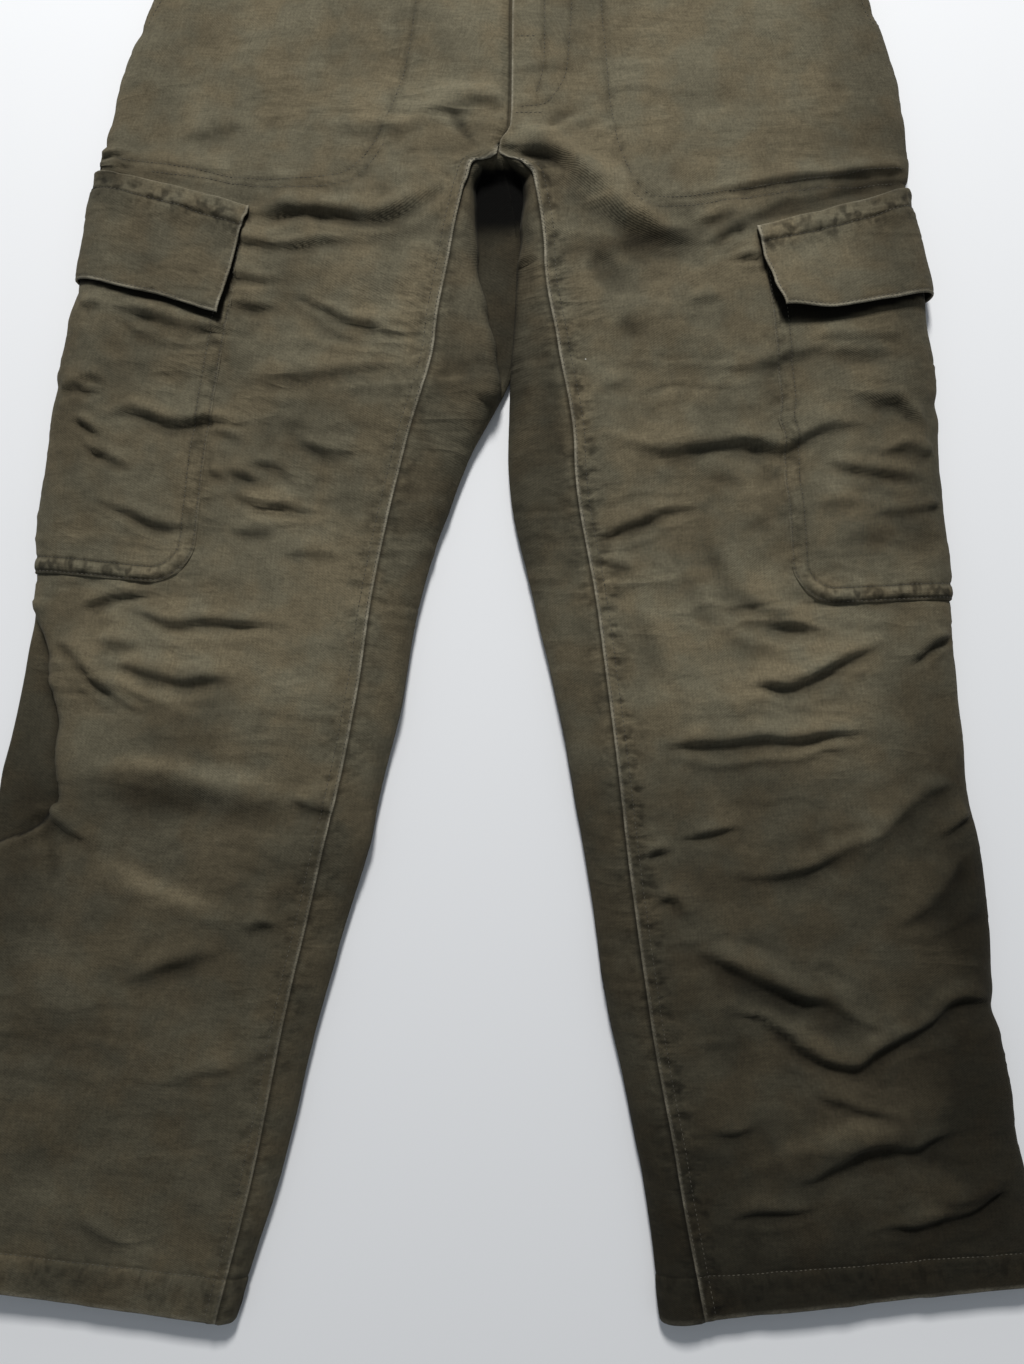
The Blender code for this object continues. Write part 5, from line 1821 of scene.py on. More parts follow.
def flap_shadow(leg: Leg, downs: Array, overs: Array) -> Array:
    """Light left under a flap and close beside it.

    Args:
        leg: the leg.
        downs: distances below the crotch line.
        overs: distances round the leg.

    Returns:
        1 where all the light comes through.
    """
    flap, over = FLAPS[leg.side], np.abs(overs)
    start, end = read_curve(flap.top, over), read_curve(flap.low, over)
    share = np.clip((downs - start) / (end - start), 0.0, 1.0)
    inner = ramp(overs, *flap.inner)
    below = (downs - end) / ((FLAP_EDGE + flap.reach * inner) * MM)
    beside = (over - read_curve(flap.sides, share)) / (FLAP_BESIDE * (0.4 + share))
    dark = FLAP_DARK * ebb(np.maximum(below, beside), 0.45, 1.0)
    above = bell(start - downs - FLAP_ABOVE, FLAP_ABOVE) * flap.above * inner
    return (1.0 - dark * ramp(downs - start, 1.0 * MM, 9.0 * MM)) * (1.0 - above)


@dataclass
class CargoFlap(Part):
    """Flap over the cargo pocket: sewn along its top, topstitched, its lower edge standing off."""

    kind: ClassVar[str] = "cargo_flap"
    thickness: float = 2.0 * MM
    edge_row: float = 2.2 * MM        # of stitches, from the edge
    seam_share: float = 0.225         # place of the seam that sews it down
    usual_tall: float = 76.0 * MM
    rows: int = 54
    columns: int = 150
    near_edge: tuple[float, ...] = (0.0, 0.5, 1.1, 1.7, 2.3, 3.0, 4.0)
    near_row: tuple[float, ...] = (-1.8, -0.9, 0.0, 0.9, 1.8)

    @property
    def shape(self) -> FlapShape:
        """Its outline."""
        return FLAPS[self.cloth.leg.side]

    def place(self, share: Array, across: Array) -> tuple[Array, Array]:
        """Where a point of the flap lies on the leg.

        Args:
            share: 0 at the sewn edge, 1 at the free edge.
            across: from -1 to 1 between its two sides.

        Returns:
            Distances below the crotch line and round the leg.
        """
        overs = across * read_curve(self.shape.sides, share)
        top = read_curve(self.shape.top, np.abs(overs))
        low = read_curve(self.shape.low, np.abs(overs))
        return top + (low - top) * share, overs

    def tall(self, overs: Array) -> Array:
        """Distance from the sewn edge to the free edge, by distance round the leg."""
        over = np.abs(overs)
        return read_curve(self.shape.low, over) - read_curve(self.shape.top, over)

    def extra(self, share: Array, across: Array) -> Array:
        """Rise of the flap's outer face over the panel.

        Args:
            share: 0 at the sewn edge, 1 at the free edge.
            across: from -1 to 1 between its two sides.

        Returns:
            The rise.
        """
        downs, overs = self.place(share, across)
        side = (1.0 - np.abs(across)) * read_curve(self.shape.sides, share)
        top, free = share * self.tall(overs), (1.0 - share) * self.tall(overs)
        inset = np.minimum(np.minimum(side, free), top)
        rounded = 0.25 + 0.75 * quarter_round(inset + 0.1 * MM, 1.9 * MM)
        layer = LAYER * ramp(downs, POCKET_TOP - 0.006, POCKET_TOP + 0.004)
        past = (share - self.seam_share) * self.tall(overs)
        grooves = (0.35 * bell(np.minimum(side, free) - self.edge_row, 0.9 * MM)
                   + 0.85 * bell(past, 1.6 * MM))
        puff = 0.5 * bell(past + 9.0 * MM, 6.5 * MM)
        gather = pucker(overs, top, 11.0 * MM) * bell(past + 2.0 * MM, 16.0 * MM)
        ripple = pucker(np.where(side < free, downs, overs), inset + 0.2, 12.0 * MM)
        tilt = 0.55 + 0.45 * np.clip(overs / 0.1, -1, 1)
        lifted = self.shape.hover * ramp(share, 0.25, 1.0) * tilt
        return (GAP + self.thickness * rounded + layer + lifted
                + (puff - grooves + 0.80 * gather
                   + 0.20 * ripple * bell(inset - 4.0 * MM, 6.0 * MM)) * MM)

    def skin(self, share: Array, across: Array) -> tuple[Array, Array]:
        """Points of the outer face with their normals."""
        downs, overs = self.place(share, across)
        return self.cloth.lay(downs, overs, self.extra(share, across))

    def stops(self) -> tuple[Array, Array]:
        """Rows and columns of the flap, closer at its edges and at the seam across it.

        Returns:
            Shares from the sewn edge to the free edge, and places from -1 to 1 across.
        """
        close, tall, wide = mm(*self.near_edge), self.usual_tall, self.shape.sides[0][1]
        inner = np.linspace(close[-1] / tall, 1.0 - close[-1] / tall, self.rows)[1:-1]
        shares = np.concatenate([close / tall, inner, 1.0 - close[::-1] / tall])
        shares = shares[np.abs(shares - self.seam_share) > 2.3 * MM / tall]
        shares = np.append(shares, self.seam_share + mm(*self.near_row) / tall)
        inner = np.linspace(-1.0 + close[-1] / wide, 1.0 - close[-1] / wide, self.columns)[1:-1]
        across = np.concatenate([-1.0 + close / wide, inner, 1.0 - close[::-1] / wide])
        return np.unique(shares), across

    def build(self) -> bpy.types.Object:
        """Make the flap.

        Returns:
            The new piece.
        """
        leg, wide = self.cloth.leg, self.shape.sides[0][1]
        share, across = np.meshgrid(*self.stops(), indexing="ij")
        points, _ = self.skin(share, across)
        downs, overs = self.place(share, across)
        x, y = points[..., 0], points[..., 1]
        side = (1.0 - np.abs(across)) * wide
        top, free = share * self.tall(overs), (1.0 - share) * self.tall(overs)
        past = (share - self.seam_share) * self.tall(overs)
        worn = 0.9 * WEAR_AND_PAINTED_LIGHT.edge(np.minimum(side, free) - 0.4 * MM, x, y)
        drawn = 1.9 * bell(past + 4.0 * MM, 13.0 * MM)
        # painted shade in the groove of the seam that sews the flap down
        marks = Marks(fade=WEAR_AND_PAINTED_LIGHT.fade(leg, downs, overs, x, y) + self.shape.paler,
                      wearandpaintedlight=worn + 0.3 * WEAR_AND_PAINTED_LIGHT.edge(top - 0.4 * MM, x, y),
                      shade=1.0 - 0.62 * bell(past, 1.2 * MM),
                      pull_x=0.5 * bell(side - 3.0 * MM, 4.0 * MM),
                      pull_y=drawn + 0.4 * bell(free - 3.0 * MM, 4.0 * MM))
        piece = grid_object(self.name, points, np.stack([overs, downs], axis=-1), marks, leg.side)
        thicken(piece, self.thickness - 0.2 * MM)
        return piece


# ------------------------------------------------------------------ waist
@dataclass
class Waistband:
    """Strip of doubled cloth round the waist, its left end lying over its right end."""

    thickness: float = 2.6 * MM
    spacing: float = 3.2 * MM
    underlap: float = 22.0 * MM
    top_row: float = 4.0 * MM         # of stitches, from the top
    low_row: float = 2.5 * MM         # from the waist seam
    faded: float = 0.9
    # Millimetres over the waist seam of the rows outside and inside
    outer: tuple[float, ...] = (0.0, 0.5, 1.0, 1.8, 3.0, 5.0, 9.0, 14.0, 20.0, 26.0, 31.0, 35.0,
                                37.0, 38.2, 39.0)
    inner: tuple[float, ...] = (37.0, 30.0, 20.0, 10.0, 2.0, 0.5)

    def path(self) -> list[tuple[Cloth, Array, Array]]:
        """Stops round the waist: the cloth they lie on, their distance from the fold, the sink."""
        middle = np.array(BAND_MIDDLE)
        left, right = float(LEFT_LEG.seam(middle)), float(RIGHT_LEG.seam(middle))
        back = float(LEFT_LEG.under_end(middle))
        first = np.linspace(left, -back, int((left + back) / self.spacing))
        back, end = float(RIGHT_LEG.under_end(middle)), right + self.underlap
        second = np.linspace(-back, end, int((end + back) / self.spacing))[1:]
        sink = self.thickness + GAP + 0.3 * MM
        return [(LEFT_CLOTH, first, np.zeros(first.size)),
                (RIGHT_CLOTH, second, sink * ebb(right - second, 0.001, FLY_STEP + 0.002))]

    def build(self) -> bpy.types.Object:
        """Make the waistband.

        Returns:
            The new piece.
        """
        radius = self.thickness / 2
        on, fall = roll(radius, 6)
        outer, inner = mm(*self.outer), mm(*self.inner)
        reads = np.concatenate([WAIST_SEAM - GAP - outer,
                                np.full(on.size + 1, WAIST_TOP + radius), WAIST_SEAM - GAP - inner])
        drops = np.concatenate([np.zeros(outer.size + 1), -on, np.zeros(inner.size)])
        falls = np.concatenate([np.zeros(outer.size + 1), fall, np.full(inner.size, -2 * radius)])
        grooves = (bell(reads - WAIST_SEAM + self.low_row, 1.2 * MM)
                   + bell(reads - WAIST_TOP - self.top_row, 1.2 * MM)) * (falls == 0.0)
        parts, places, along = [], [], 0.0
        for cloth, overs, sink in self.path():
            downs, grid = np.meshgrid(reads, overs, indexing="ij")
            rise = falls[:, None] - sink[None] - 0.4 * MM * grooves[:, None]
            rise = rise + 0.2 * MM * pucker(grid, downs, 12.0 * MM) * (falls[:, None] == 0.0)
            parts.append(cloth.lay(downs, grid, rise, 0.0, drops[:, None])[0])
            places.append(along + np.abs(overs - overs[0]))
            along = places[-1][-1]
        points = np.hstack(parts)
        uv = np.stack(np.meshgrid(np.concatenate(places), reads + drops), axis=-1)
        worn = 0.5 * WEAR_AND_PAINTED_LIGHT.edge(uv[..., 1] - WAIST_TOP, points[..., 0], points[..., 1], 1.6 * MM)
        marks = Marks(fade=self.faded, wearandpaintedlight=worn, pull_y=0.6 * grooves[:, None])
        piece = grid_object("waistband", points, uv, marks, Side.LEFT)
        thicken(piece, 0.8 * MM)
        return piece


@dataclass
class FlyZip:
    """Closed zip under the fly: two woven tapes, rows of metal teeth and a slider."""

    tape_width: float = 14.0 * MM
    tape_depth: float = 6.4 * MM
    tape_cloth: float = 0.7 * MM
    tooth_pitch: float = 2.6 * MM
    tooth: tuple[float, float, float] = (4.4 * MM, 1.3 * MM, 1.5 * MM)
    tooth_shift: float = 1.2 * MM     # of the two rows, to both sides
    tooth_rise: float = 0.9 * MM      # over the tape
    slider_place: float = 12.0 * MM   # below the waist seam
    end: float = -0.030
    rows: int = 80
    columns: int = 15

    def place(self, downs: Array, past: Array, depth: float) -> Array:
        """Points under the fly, `past` centre front towards the left leg.

        Args:
            downs: distances below the crotch line.
            past: distances from centre front.
            depth: depth below the outer face.

        Returns:
            The points.
        """
        seam_left, seam_right = LEFT_LEG.seam(downs), RIGHT_LEG.seam(downs)
        on_left, _ = LEFT_CLOTH.lay(downs, seam_left - np.abs(past), -depth)
        on_right, _ = RIGHT_CLOTH.lay(downs, seam_right - np.abs(past), -depth)
        return np.where((past >= 0.0)[..., None], on_left, on_right)

    def build(self) -> list[bpy.types.Object]:
        """Make the zip.

        Returns:
            The tape, and the teeth with the slider.
        """
        downs = np.linspace(WAIST_SEAM + 2.0 * MM, self.end, self.rows)
        past = np.linspace(-self.tape_width, self.tape_width, self.columns)
        grid, across = np.meshgrid(downs, past, indexing="ij")
        points = self.place(grid, across, self.tape_depth)
        tape = grid_object("fly_zip_tape", points, np.stack([across, grid], axis=-1), Marks(),
                           Side.RIGHT)
        thicken(tape, self.tape_cloth)
        centres = np.arange(WAIST_SEAM + self.slider_place, self.end - 3.0 * MM, self.tooth_pitch)
        spots = self.place(centres, np.full_like(centres, 0.2 * MM),
                           self.tape_depth - self.tooth_rise)
        bm = bmesh.new()
        for k, spot in enumerate(spots):
            side = self.tooth_shift if k % 2 else -self.tooth_shift
            matrix = Matrix.Translation(Vector(spot) + Vector((side, 0.0, 0.0)))
            bmesh.ops.create_cube(bm, size=1.0, matrix=matrix @ Matrix.Diagonal((*self.tooth, 1.0)))
        self.add_slider(bm, Vector(spots[0]))
        return [tape, finished("fly_zip_teeth", bm)]

    @staticmethod
    def add_slider(bm: bmesh.types.BMesh, spot: Vector) -> None:
        """Add the slider's body and its pull tab above the last tooth.

        Args:
            bm: where to add them.
            spot: place of the last tooth.
        """
        place = Matrix.Translation(spot + Vector((0.0, 5.0 * MM, 0.4 * MM)))
        body = bmesh.ops.create_cone(bm, cap_ends=True, segments=10, radius1=4.2 * MM,
                                     radius2=3.2 * MM, depth=1.6 * MM, matrix=place)
        bmesh.ops.scale(bm, verts=body["verts"], vec=(0.9, 1.25, 1.0),
                        space=Matrix.Translation(-spot))
        place = Matrix.Translation(spot + Vector((0.0, -5.0 * MM, 1.0 * MM)))
        size = Matrix.Diagonal((4.0 * MM, 14.0 * MM, 0.8 * MM, 1.0))
        tab = bmesh.ops.create_cube(bm, size=1.0, matrix=place @ size)
        edges = list({edge for vert in tab["verts"] for edge in vert.link_edges})
        bmesh.ops.bevel(bm, geom=edges, offset=0.3 * MM, offset_type="OFFSET", segments=1,
                        profile=0.5, affect="EDGES", material=-1)


@dataclass
class WaistButton:
    """Round button with a rounded rim and a sunk middle, and two bars of thread over it; its holes are not
    cut.
    """

    radius: float = 8.5 * MM
    thickness: float = 2.8 * MM
    rim: float = 2.2 * MM
    slope: float = 0.7 * MM           # from the rim down to the sunk middle
    sunk: float = 0.8 * MM
    bevel: float = 0.5 * MM
    hole_spacing: float = 1.75 * MM

    def seat(self) -> Vector:
        """Middle of the button's place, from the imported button."""
        low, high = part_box("waist_button")
        return Vector(((low.x + high.x) / 2, (low.y + high.y) / 2, low.z))

    def build(self) -> list[bpy.types.Object]:
        """Make the button.

        Returns:
            The button and its thread.
        """
        seat = self.seat()
        bm = bmesh.new()
        bmesh.ops.create_cone(bm, cap_ends=True, segments=48, radius1=self.radius,
                              radius2=self.radius, depth=self.thickness)
        for vert in bm.verts:
            vert.co.z += self.thickness / 2
        lid = max(bm.faces, key=lambda face: face.calc_center_median().z)
        bmesh.ops.inset_region(bm, faces=[lid], thickness=self.rim, depth=0.0)
        bmesh.ops.inset_region(bm, faces=[lid], thickness=self.slope, depth=-self.sunk)
        edges = [edge for edge in bm.edges if edge.is_manifold
                 and edge.calc_face_angle() > math.radians(40.0)]
        bmesh.ops.bevel(bm, geom=edges, offset=self.bevel, offset_type="OFFSET", segments=3,
                        profile=0.5, affect="EDGES", material=-1)
        bmesh.ops.translate(bm, verts=bm.verts[:], vec=seat)
        button = finished("waist_button_top", bm)
        button.data.shade_smooth()
        button.data.set_sharp_from_angle(angle=math.radians(50.0))
        bm = bmesh.new()
        level = seat.z + self.thickness - 0.7 * MM
        for turn in range(2):
            for side in (-1.0, 1.0):
                step = Vector((side * self.hole_spacing, 0.0, 0.0))
                matrix = (Matrix.Translation(Vector((seat.x, seat.y, level)) + step)
                          @ Matrix.Diagonal((0.55 * MM, self.hole_spacing * 1.3,
                                             0.6 * MM + 0.1 * MM * turn, 1.0)))
                bmesh.ops.create_icosphere(bm, subdivisions=2, radius=1.0, matrix=matrix)
        thread = finished("waist_button_thread", bm)
        thread.data.shade_smooth()
        return [button, thread]


# ------------------------------------------------------------------ stitching
@dataclass
class Stitching:
    """Rows of lockstitch: short rounded stitches lying in the cloth."""

    pitch: float = 3.1 * MM
    length: float = 2.2 * MM
    width: float = 0.62 * MM
    height: float = 0.40 * MM
    sink: float = 0.05 * MM
    batch: int = 140                  # stitches made together
    seams: list[tuple[Array, Array]] = field(default_factory=list)

    def add(self, found: tuple[Array, Array]) -> None:
        """Add a seam by its points and the cloth's normals there, sunk a little into the cloth."""
        points, normals = found
        self.seams.append((points - normals * self.sink, normals))

    def matrices(self) -> list[Matrix]:
        """Place of every stitch, longest along its seam."""
        found = []
        for points, normals in self.seams:
            steps = np.linalg.norm(np.diff(points, axis=0), axis=1)
            lengths = np.concatenate([[0.0], np.cumsum(steps)])
            count = max(2, int(lengths[-1] / self.pitch))
            middles = (np.arange(count) + 0.5) * lengths[-1] / count
            ends = [np.column_stack([np.interp(middles + shift, lengths, points[:, axis])
                                     for axis in range(3)])
                    for shift in (-self.length / 2, self.length / 2)]
            ups = np.column_stack([np.interp(middles, lengths, normals[:, axis])
                                   for axis in range(3)])
            for start, end, up in zip(*ends, ups):
                along = Vector(end - start).normalized()
                across = Vector(up).cross(along).normalized()
                turn = Matrix((along, across, along.cross(across))).transposed().to_4x4()
                size = Matrix.Diagonal((self.length / 2, self.width / 2, self.height, 1.0))
                found.append(Matrix.Translation(Vector((start + end) / 2)) @ turn @ size)
        return found

    def build(self, name: str) -> bpy.types.Object:
        """Make the stitches added so far as one piece, and start afresh.

        Args:
            name: the piece's name.

        Returns:
            The new piece.
        """
        places = self.matrices()
        self.seams = []
        whole = bmesh.new()
        for first in range(0, len(places), self.batch):
            part = bmesh.new()
            for matrix in places[first:first + self.batch]:
                bmesh.ops.create_icosphere(part, subdivisions=1, radius=1.0, matrix=matrix)
            mesh = bpy.data.meshes.new("batch")
            part.to_mesh(mesh)
            part.free()
            whole.from_mesh(mesh)
            bpy.data.meshes.remove(mesh)
        piece = finished(name, whole)
        piece.data.shade_smooth()
        return piece


def steps(start: float, end: float, spacing: float = 2.0 * MM) -> Array:
    """Even steps from one place to another."""
    return np.linspace(start, end, max(2, int(abs(end - start) / spacing)))


def lay_line(line: tuple[int, ...], trees: list[BVHTree]) -> tuple[Array, Array]:
    """Drop a row of stitches on the cloth below it.

    Args:
        line: its plan points in millimetres, x and y in turn.
        trees: the cloth to look for.

    Returns:
        Points and normals of the row.
    """
    places, normals = [], []
    for x, y in plan_path(line, 8):
        hits = (tree.ray_cast(Vector((x, y, 0.2)), Vector((0.0, 0.0, -1.0))) for tree in trees)
        found = [(spot, normal) for spot, normal, _, _ in hits if spot is not None]
        if found:
            spot, normal = max(found, key=lambda hit: hit[0].z)
            places.append(spot)
            normals.append(normal if normal.z > 0.0 else -normal)
    return np.array(places), np.array(normals)


# ------------------------------------------------------------------ finishes
Colour = tuple[float, float, float]
Socket = bpy.types.NodeSocket
Value = Socket | float


class Graph:
    """Short ways to build a material's nodes."""

    def __init__(self, name: str) -> None:
        """Start a material with its shader."""
        self.material = bpy.data.materials.new(name)
        self.material.use_nodes = True
        self.tree = self.material.node_tree
        self.shader = self.tree.nodes["Principled BSDF"]

    def node(self, kind: str, inputs: dict | None = None, **settings: object) -> bpy.types.Node:
        """Add a node.

        Args:
            kind: its type.
            inputs: values or links of its inputs.
            **settings: its settings.

        Returns:
            The node.
        """
        made = self.tree.nodes.new(kind)
        for key, value in settings.items():
            setattr(made, key, value)
        for key, value in (inputs or {}).items():
            if isinstance(value, Socket):
                self.tree.links.new(value, made.inputs[key])
            else:
                made.inputs[key].default_value = value
        return made

    def place(self) -> Socket:
        """Place on the garment, in metres."""
        return self.node("ShaderNodeTexCoord").outputs["Object"]

    def cloth(self) -> Socket:
        """Place on the flat cloth, in metres."""
        return self.node("ShaderNodeUVMap", uv_map="cloth").outputs[0]

    def mark(self, name: str) -> Socket:
        """Number kept with the points of the cloth."""
        return self.node("ShaderNodeAttribute", attribute_name=name).outputs["Fac"]

    def maths(self, operation: str, a: Value, b: Value = 0.0, clamp: bool = False) -> Socket:
        """Work out a number from two."""
        return self.node("ShaderNodeMath", {0: a, 1: b}, operation=operation,
                         use_clamp=clamp).outputs[0]

    def total(self, *values: Value) -> Socket:
        """Sum of numbers."""
        return reduce(lambda a, b: self.maths("ADD", a, b), values)

    def product(self, *values: Value) -> Socket:
        """Product of numbers."""
        return reduce(lambda a, b: self.maths("MULTIPLY", a, b), values)

    def mix(self, share: Value, a: Socket | Colour, b: Socket | Colour,
            blend: str = "MIX") -> Socket:
        """Mix two colours.

        Args:
            share: share of the second.
            a: the first.
            b: the second.
            blend: how they are mixed.

        Returns:
            The mixed colour.
        """
        colours = {6: a if isinstance(a, Socket) else (*a, 1.0),
                   7: b if isinstance(b, Socket) else (*b, 1.0)}
        return self.node("ShaderNodeMix", {0: share, **colours}, data_type="RGBA",
                         blend_type=blend).outputs[2]

    def noise(self, vector: Socket, size: float, detail: float = 2.0,
              stretch: Colour = (1.0, 1.0, 1.0), rough: float = 0.5) -> Socket:
        """Noise, as a number from 0 to 1.

        Args:
            vector: place to read it at.
            size: size of its waves in metres.
            detail: number of finer layers.
            stretch: scale of the place along each axis.
            rough: strength of the finer layers.

        Returns:
            The number.
        """
        placed = self.node("ShaderNodeMapping", {"Vector": vector, "Scale": stretch}).outputs[0]
        return self.node("ShaderNodeTexNoise", {"Vector": placed, "Scale": 1.0 / size,
                                                "Detail": detail, "Roughness": rough}).outputs[0]

    def spread(self, value: Value, low: float, high: float, to_low: float = 0.0,
               to_high: float = 1.0) -> Socket:
        """Map a number from one range to another, held within it."""
        return self.node("ShaderNodeMapRange", {"Value": value, "From Min": low,
                                                "From Max": high, "To Min": to_low,
                                                "To Max": to_high}).outputs[0]

    def swing(self, value: Value, amount: float) -> Socket:
        """Noise mapped to both sides of 0, up to an amount."""
        return self.spread(value, 0.25, 0.75, -amount, amount)

    def paint(self, colour: Socket) -> None:
        """Give the surface a colour."""
        self.tree.links.new(colour, self.shader.inputs["Base Color"])

    def emboss(self, height: Socket, distance: float = 1.0) -> None:
        """Give the surface a fine relief."""
        bump = self.node("ShaderNodeBump", {"Height": height, "Distance": distance,
                                            "Strength": 1.0}).outputs[0]
        self.tree.links.new(bump, self.shader.inputs["Normal"])


@dataclass(frozen=True)
class Canvas:
    """Brushed cotton canvas: twill weave, fuzzy grain, fading, rubbed edges and specks of lint, with the
    painted highlights and painted shade that its marks and gathers carry.
    """

    fresh: Colour = (0.0190, 0.0163, 0.0108)
    faded: Colour = (0.140, 0.1205, 0.0800)
    rubbed: Colour = (0.315, 0.288, 0.220)
    brown: Colour = (1.025, 0.990, 0.935)
    green: Colour = (0.970, 1.005, 1.015)
    lint: Colour = (0.42, 0.41, 0.38)
    sheen_tint: Colour = (0.80, 0.76, 0.62)
    roughness: float = 0.93
    sheen: float = 0.035
    gloss: float = 0.10
    twill: float = 1.05 * MM
    twill_turn: float = math.radians(-58.0)
    weave_height: float = 0.10 * MM
    bump_height: float = 0.45 * MM
    grain_height: float = 0.22 * MM
    gather_height: float = 1.9 * MM
    lint_cells: float = 34.0          # to the metre

    def make(self) -> bpy.types.Material:
        """Build the material."""
        g = Graph("olive_canvas")
        place, cloth = g.place(), g.cloth()
        grain = g.noise(cloth, 1.9 * MM, 3.0, rough=0.65)
        gathers, light = self.gathers(g, cloth)
        slub = g.noise(cloth, 1.3 * MM, stretch=(1.0, 0.16, 1.0))
        cross = g.noise(cloth, 1.3 * MM, stretch=(0.16, 1.0, 1.0))
        fuzz_and_shade = g.total(g.swing(grain, 0.20), g.swing(slub, 0.12), g.swing(cross, 0.10), 1.0)
        # painted shade of the cloth's marks and of its gathers, multiplied into the colour
        fuzz_and_shade = g.product(fuzz_and_shade, g.mark("shade"), light)
        grey = g.node("ShaderNodeCombineColor", {0: fuzz_and_shade, 1: fuzz_and_shade, 2: fuzz_and_shade}).outputs[0]
        colour = g.mix(1.0, self.dyed(g, place), grey, "MULTIPLY")
        rub = g.maths("MULTIPLY", g.mark("wearandpaintedlight"), g.spread(grain, 0.30, 0.62, 0.45, 1.0),
                      clamp=True)
        colour = g.mix(rub, colour, self.rubbed)
        g.paint(g.mix(self.specks(g, place), colour, self.lint))
        g.shader.inputs["Roughness"].default_value = self.roughness
        g.shader.inputs["Sheen Weight"].default_value = self.sheen
        g.shader.inputs["Sheen Roughness"].default_value = 0.5
        g.shader.inputs["Sheen Tint"].default_value = (*self.sheen_tint, 1.0)
        g.shader.inputs["Specular IOR Level"].default_value = self.gloss
        bumps = g.noise(place, 5.0 * MM, 3.0, rough=0.6)
        g.emboss(g.total(g.product(self.weave(g, cloth), self.weave_height),
                         g.product(bumps, self.bump_height), g.product(grain, self.grain_height),
                         self.wrinkles(g, cloth, place), gathers))
        return g.material

    def dyed(self, g: Graph, place: Socket) -> Socket:
        """Colour of the cloth by its fading with its painted highlights and painted shade, cloudy and in two
        hues.

        Args:
            g: the material's nodes.
            place: place on the garment.

        Returns:
            The colour.
        """
        uneven = g.total(g.swing(g.noise(place, 0.045, 3.0), 0.15),
                         g.swing(g.noise(place, 0.011, 3.0, rough=0.6), 0.13))
        uneven = g.product(uneven, g.spread(g.mark("fade"), 0.0, 0.8, 0.28, 1.0))
        amount = g.maths("ADD", g.mark("fade"), uneven, clamp=True)
        tint = g.mix(g.spread(g.noise(place, 0.028), 0.40, 0.60), self.brown, self.green)
        return g.mix(1.0, g.mix(amount, self.fresh, self.faded), tint, "MULTIPLY")

    def specks(self, g: Graph, place: Socket) -> Socket:
        """Where a speck of lint lies: in the middle of a few cells.

        Args:
            g: the material's nodes.
            place: place on the garment.

        Returns:
            1 on a speck.
        """
        cells = g.node("ShaderNodeTexVoronoi", {"Vector": place, "Scale": self.lint_cells})
        draw = g.node("ShaderNodeSeparateColor", {0: cells.outputs["Color"]}).outputs[0]
        return g.product(g.spread(cells.outputs["Distance"], 0.020, 0.012),
                         g.spread(draw, 0.90, 0.93))

    def weave(self, g: Graph, cloth: Socket) -> Socket:
        """Slanting lines of the twill.

        Args:
            g: the material's nodes.
            cloth: place on the flat cloth.

        Returns:
            Their height.
        """
        turned = g.node("ShaderNodeMapping", {"Vector": cloth, "Rotation": (
            0.0, 0.0, self.twill_turn)}).outputs[0]
        return g.node("ShaderNodeTexWave", {
            "Vector": turned, "Scale": 1.0 / self.twill / 3.1, "Distortion": 1.2, "Detail": 1.0,
            "Detail Scale": 2.0}).outputs["Fac"]

    def gathers(self, g: Graph, cloth: Socket) -> tuple[Socket, Socket]:
        """Gathers beside the seams.

        Args:
            g: the material's nodes.
            cloth: place on the flat cloth.

        Returns:
            Their relief, and the light left in them.
        """
        reliefs, lights = [], []
        for mark, stretch in (("pull_x", (0.62, 1.0, 1.0)), ("pull_y", (1.0, 0.62, 1.0))):
            broad = g.noise(cloth, 7.6 * MM, 1.0, stretch=stretch)
            fine = g.noise(cloth, 4.4 * MM, 1.0, stretch=stretch)
            both = g.total(g.product(broad, 0.68), g.product(fine, 0.32))
            pull = g.mark(mark)
            reliefs.append(g.product(both, pull, self.gather_height))
            # painted shade in the hollows of the gathers
            hidden = g.product(g.spread(both, 0.52, 0.36, 0.0, 0.38), pull)
            lights.append(g.maths("SUBTRACT", 1.0, g.maths("MINIMUM", hidden, 0.55)))
        return g.total(*reliefs), g.product(*lights)

    @staticmethod
    def wrinkles(g: Graph, cloth: Socket, place: Socket) -> Socket:
        """Fine wrinkles across the leg, in patches.

        Args:
            g: the material's nodes.
            cloth: place on the flat cloth.
            place: place on the garment.

        Returns:
            Their relief.
        """
        crests = []
        for size, high, turn in ((0.017, 0.62 * MM, 0.10), (0.0085, 0.20 * MM, -0.16)):
            turned = g.node("ShaderNodeMapping", {"Vector": cloth, "Rotation": (0.0, 0.0, turn)})
            waves = g.noise(turned.outputs[0], size, 1.5, stretch=(0.24, 1.0, 1.0))
            away = g.maths("ABSOLUTE", g.maths("SUBTRACT", waves, 0.5))
            crests.append(g.spread(away, 0.0, 0.13, high, 0.0))
        where = g.spread(g.noise(place, 0.045, 1.0), 0.46, 0.64)
        return g.product(g.total(*crests), g.product(where, g.mark("crumple")))


@dataclass(frozen=True)
class Thread:
    """Matt sewing thread, a little paler than the cloth."""

    colour: Colour = (0.090, 0.081, 0.058)
    dark: Colour = (0.036, 0.032, 0.024)

    def make(self) -> bpy.types.Material:
        """Build the material."""
        g = Graph("olive_thread")
        place = g.place()
        g.paint(g.mix(g.spread(g.noise(place, 6.0 * MM, 3.0), 0.35, 0.65), self.dark, self.colour))
        g.shader.inputs["Roughness"].default_value = 0.8
        g.emboss(g.noise(place, 0.6 * MM), 0.2 * MM)
        return g.material


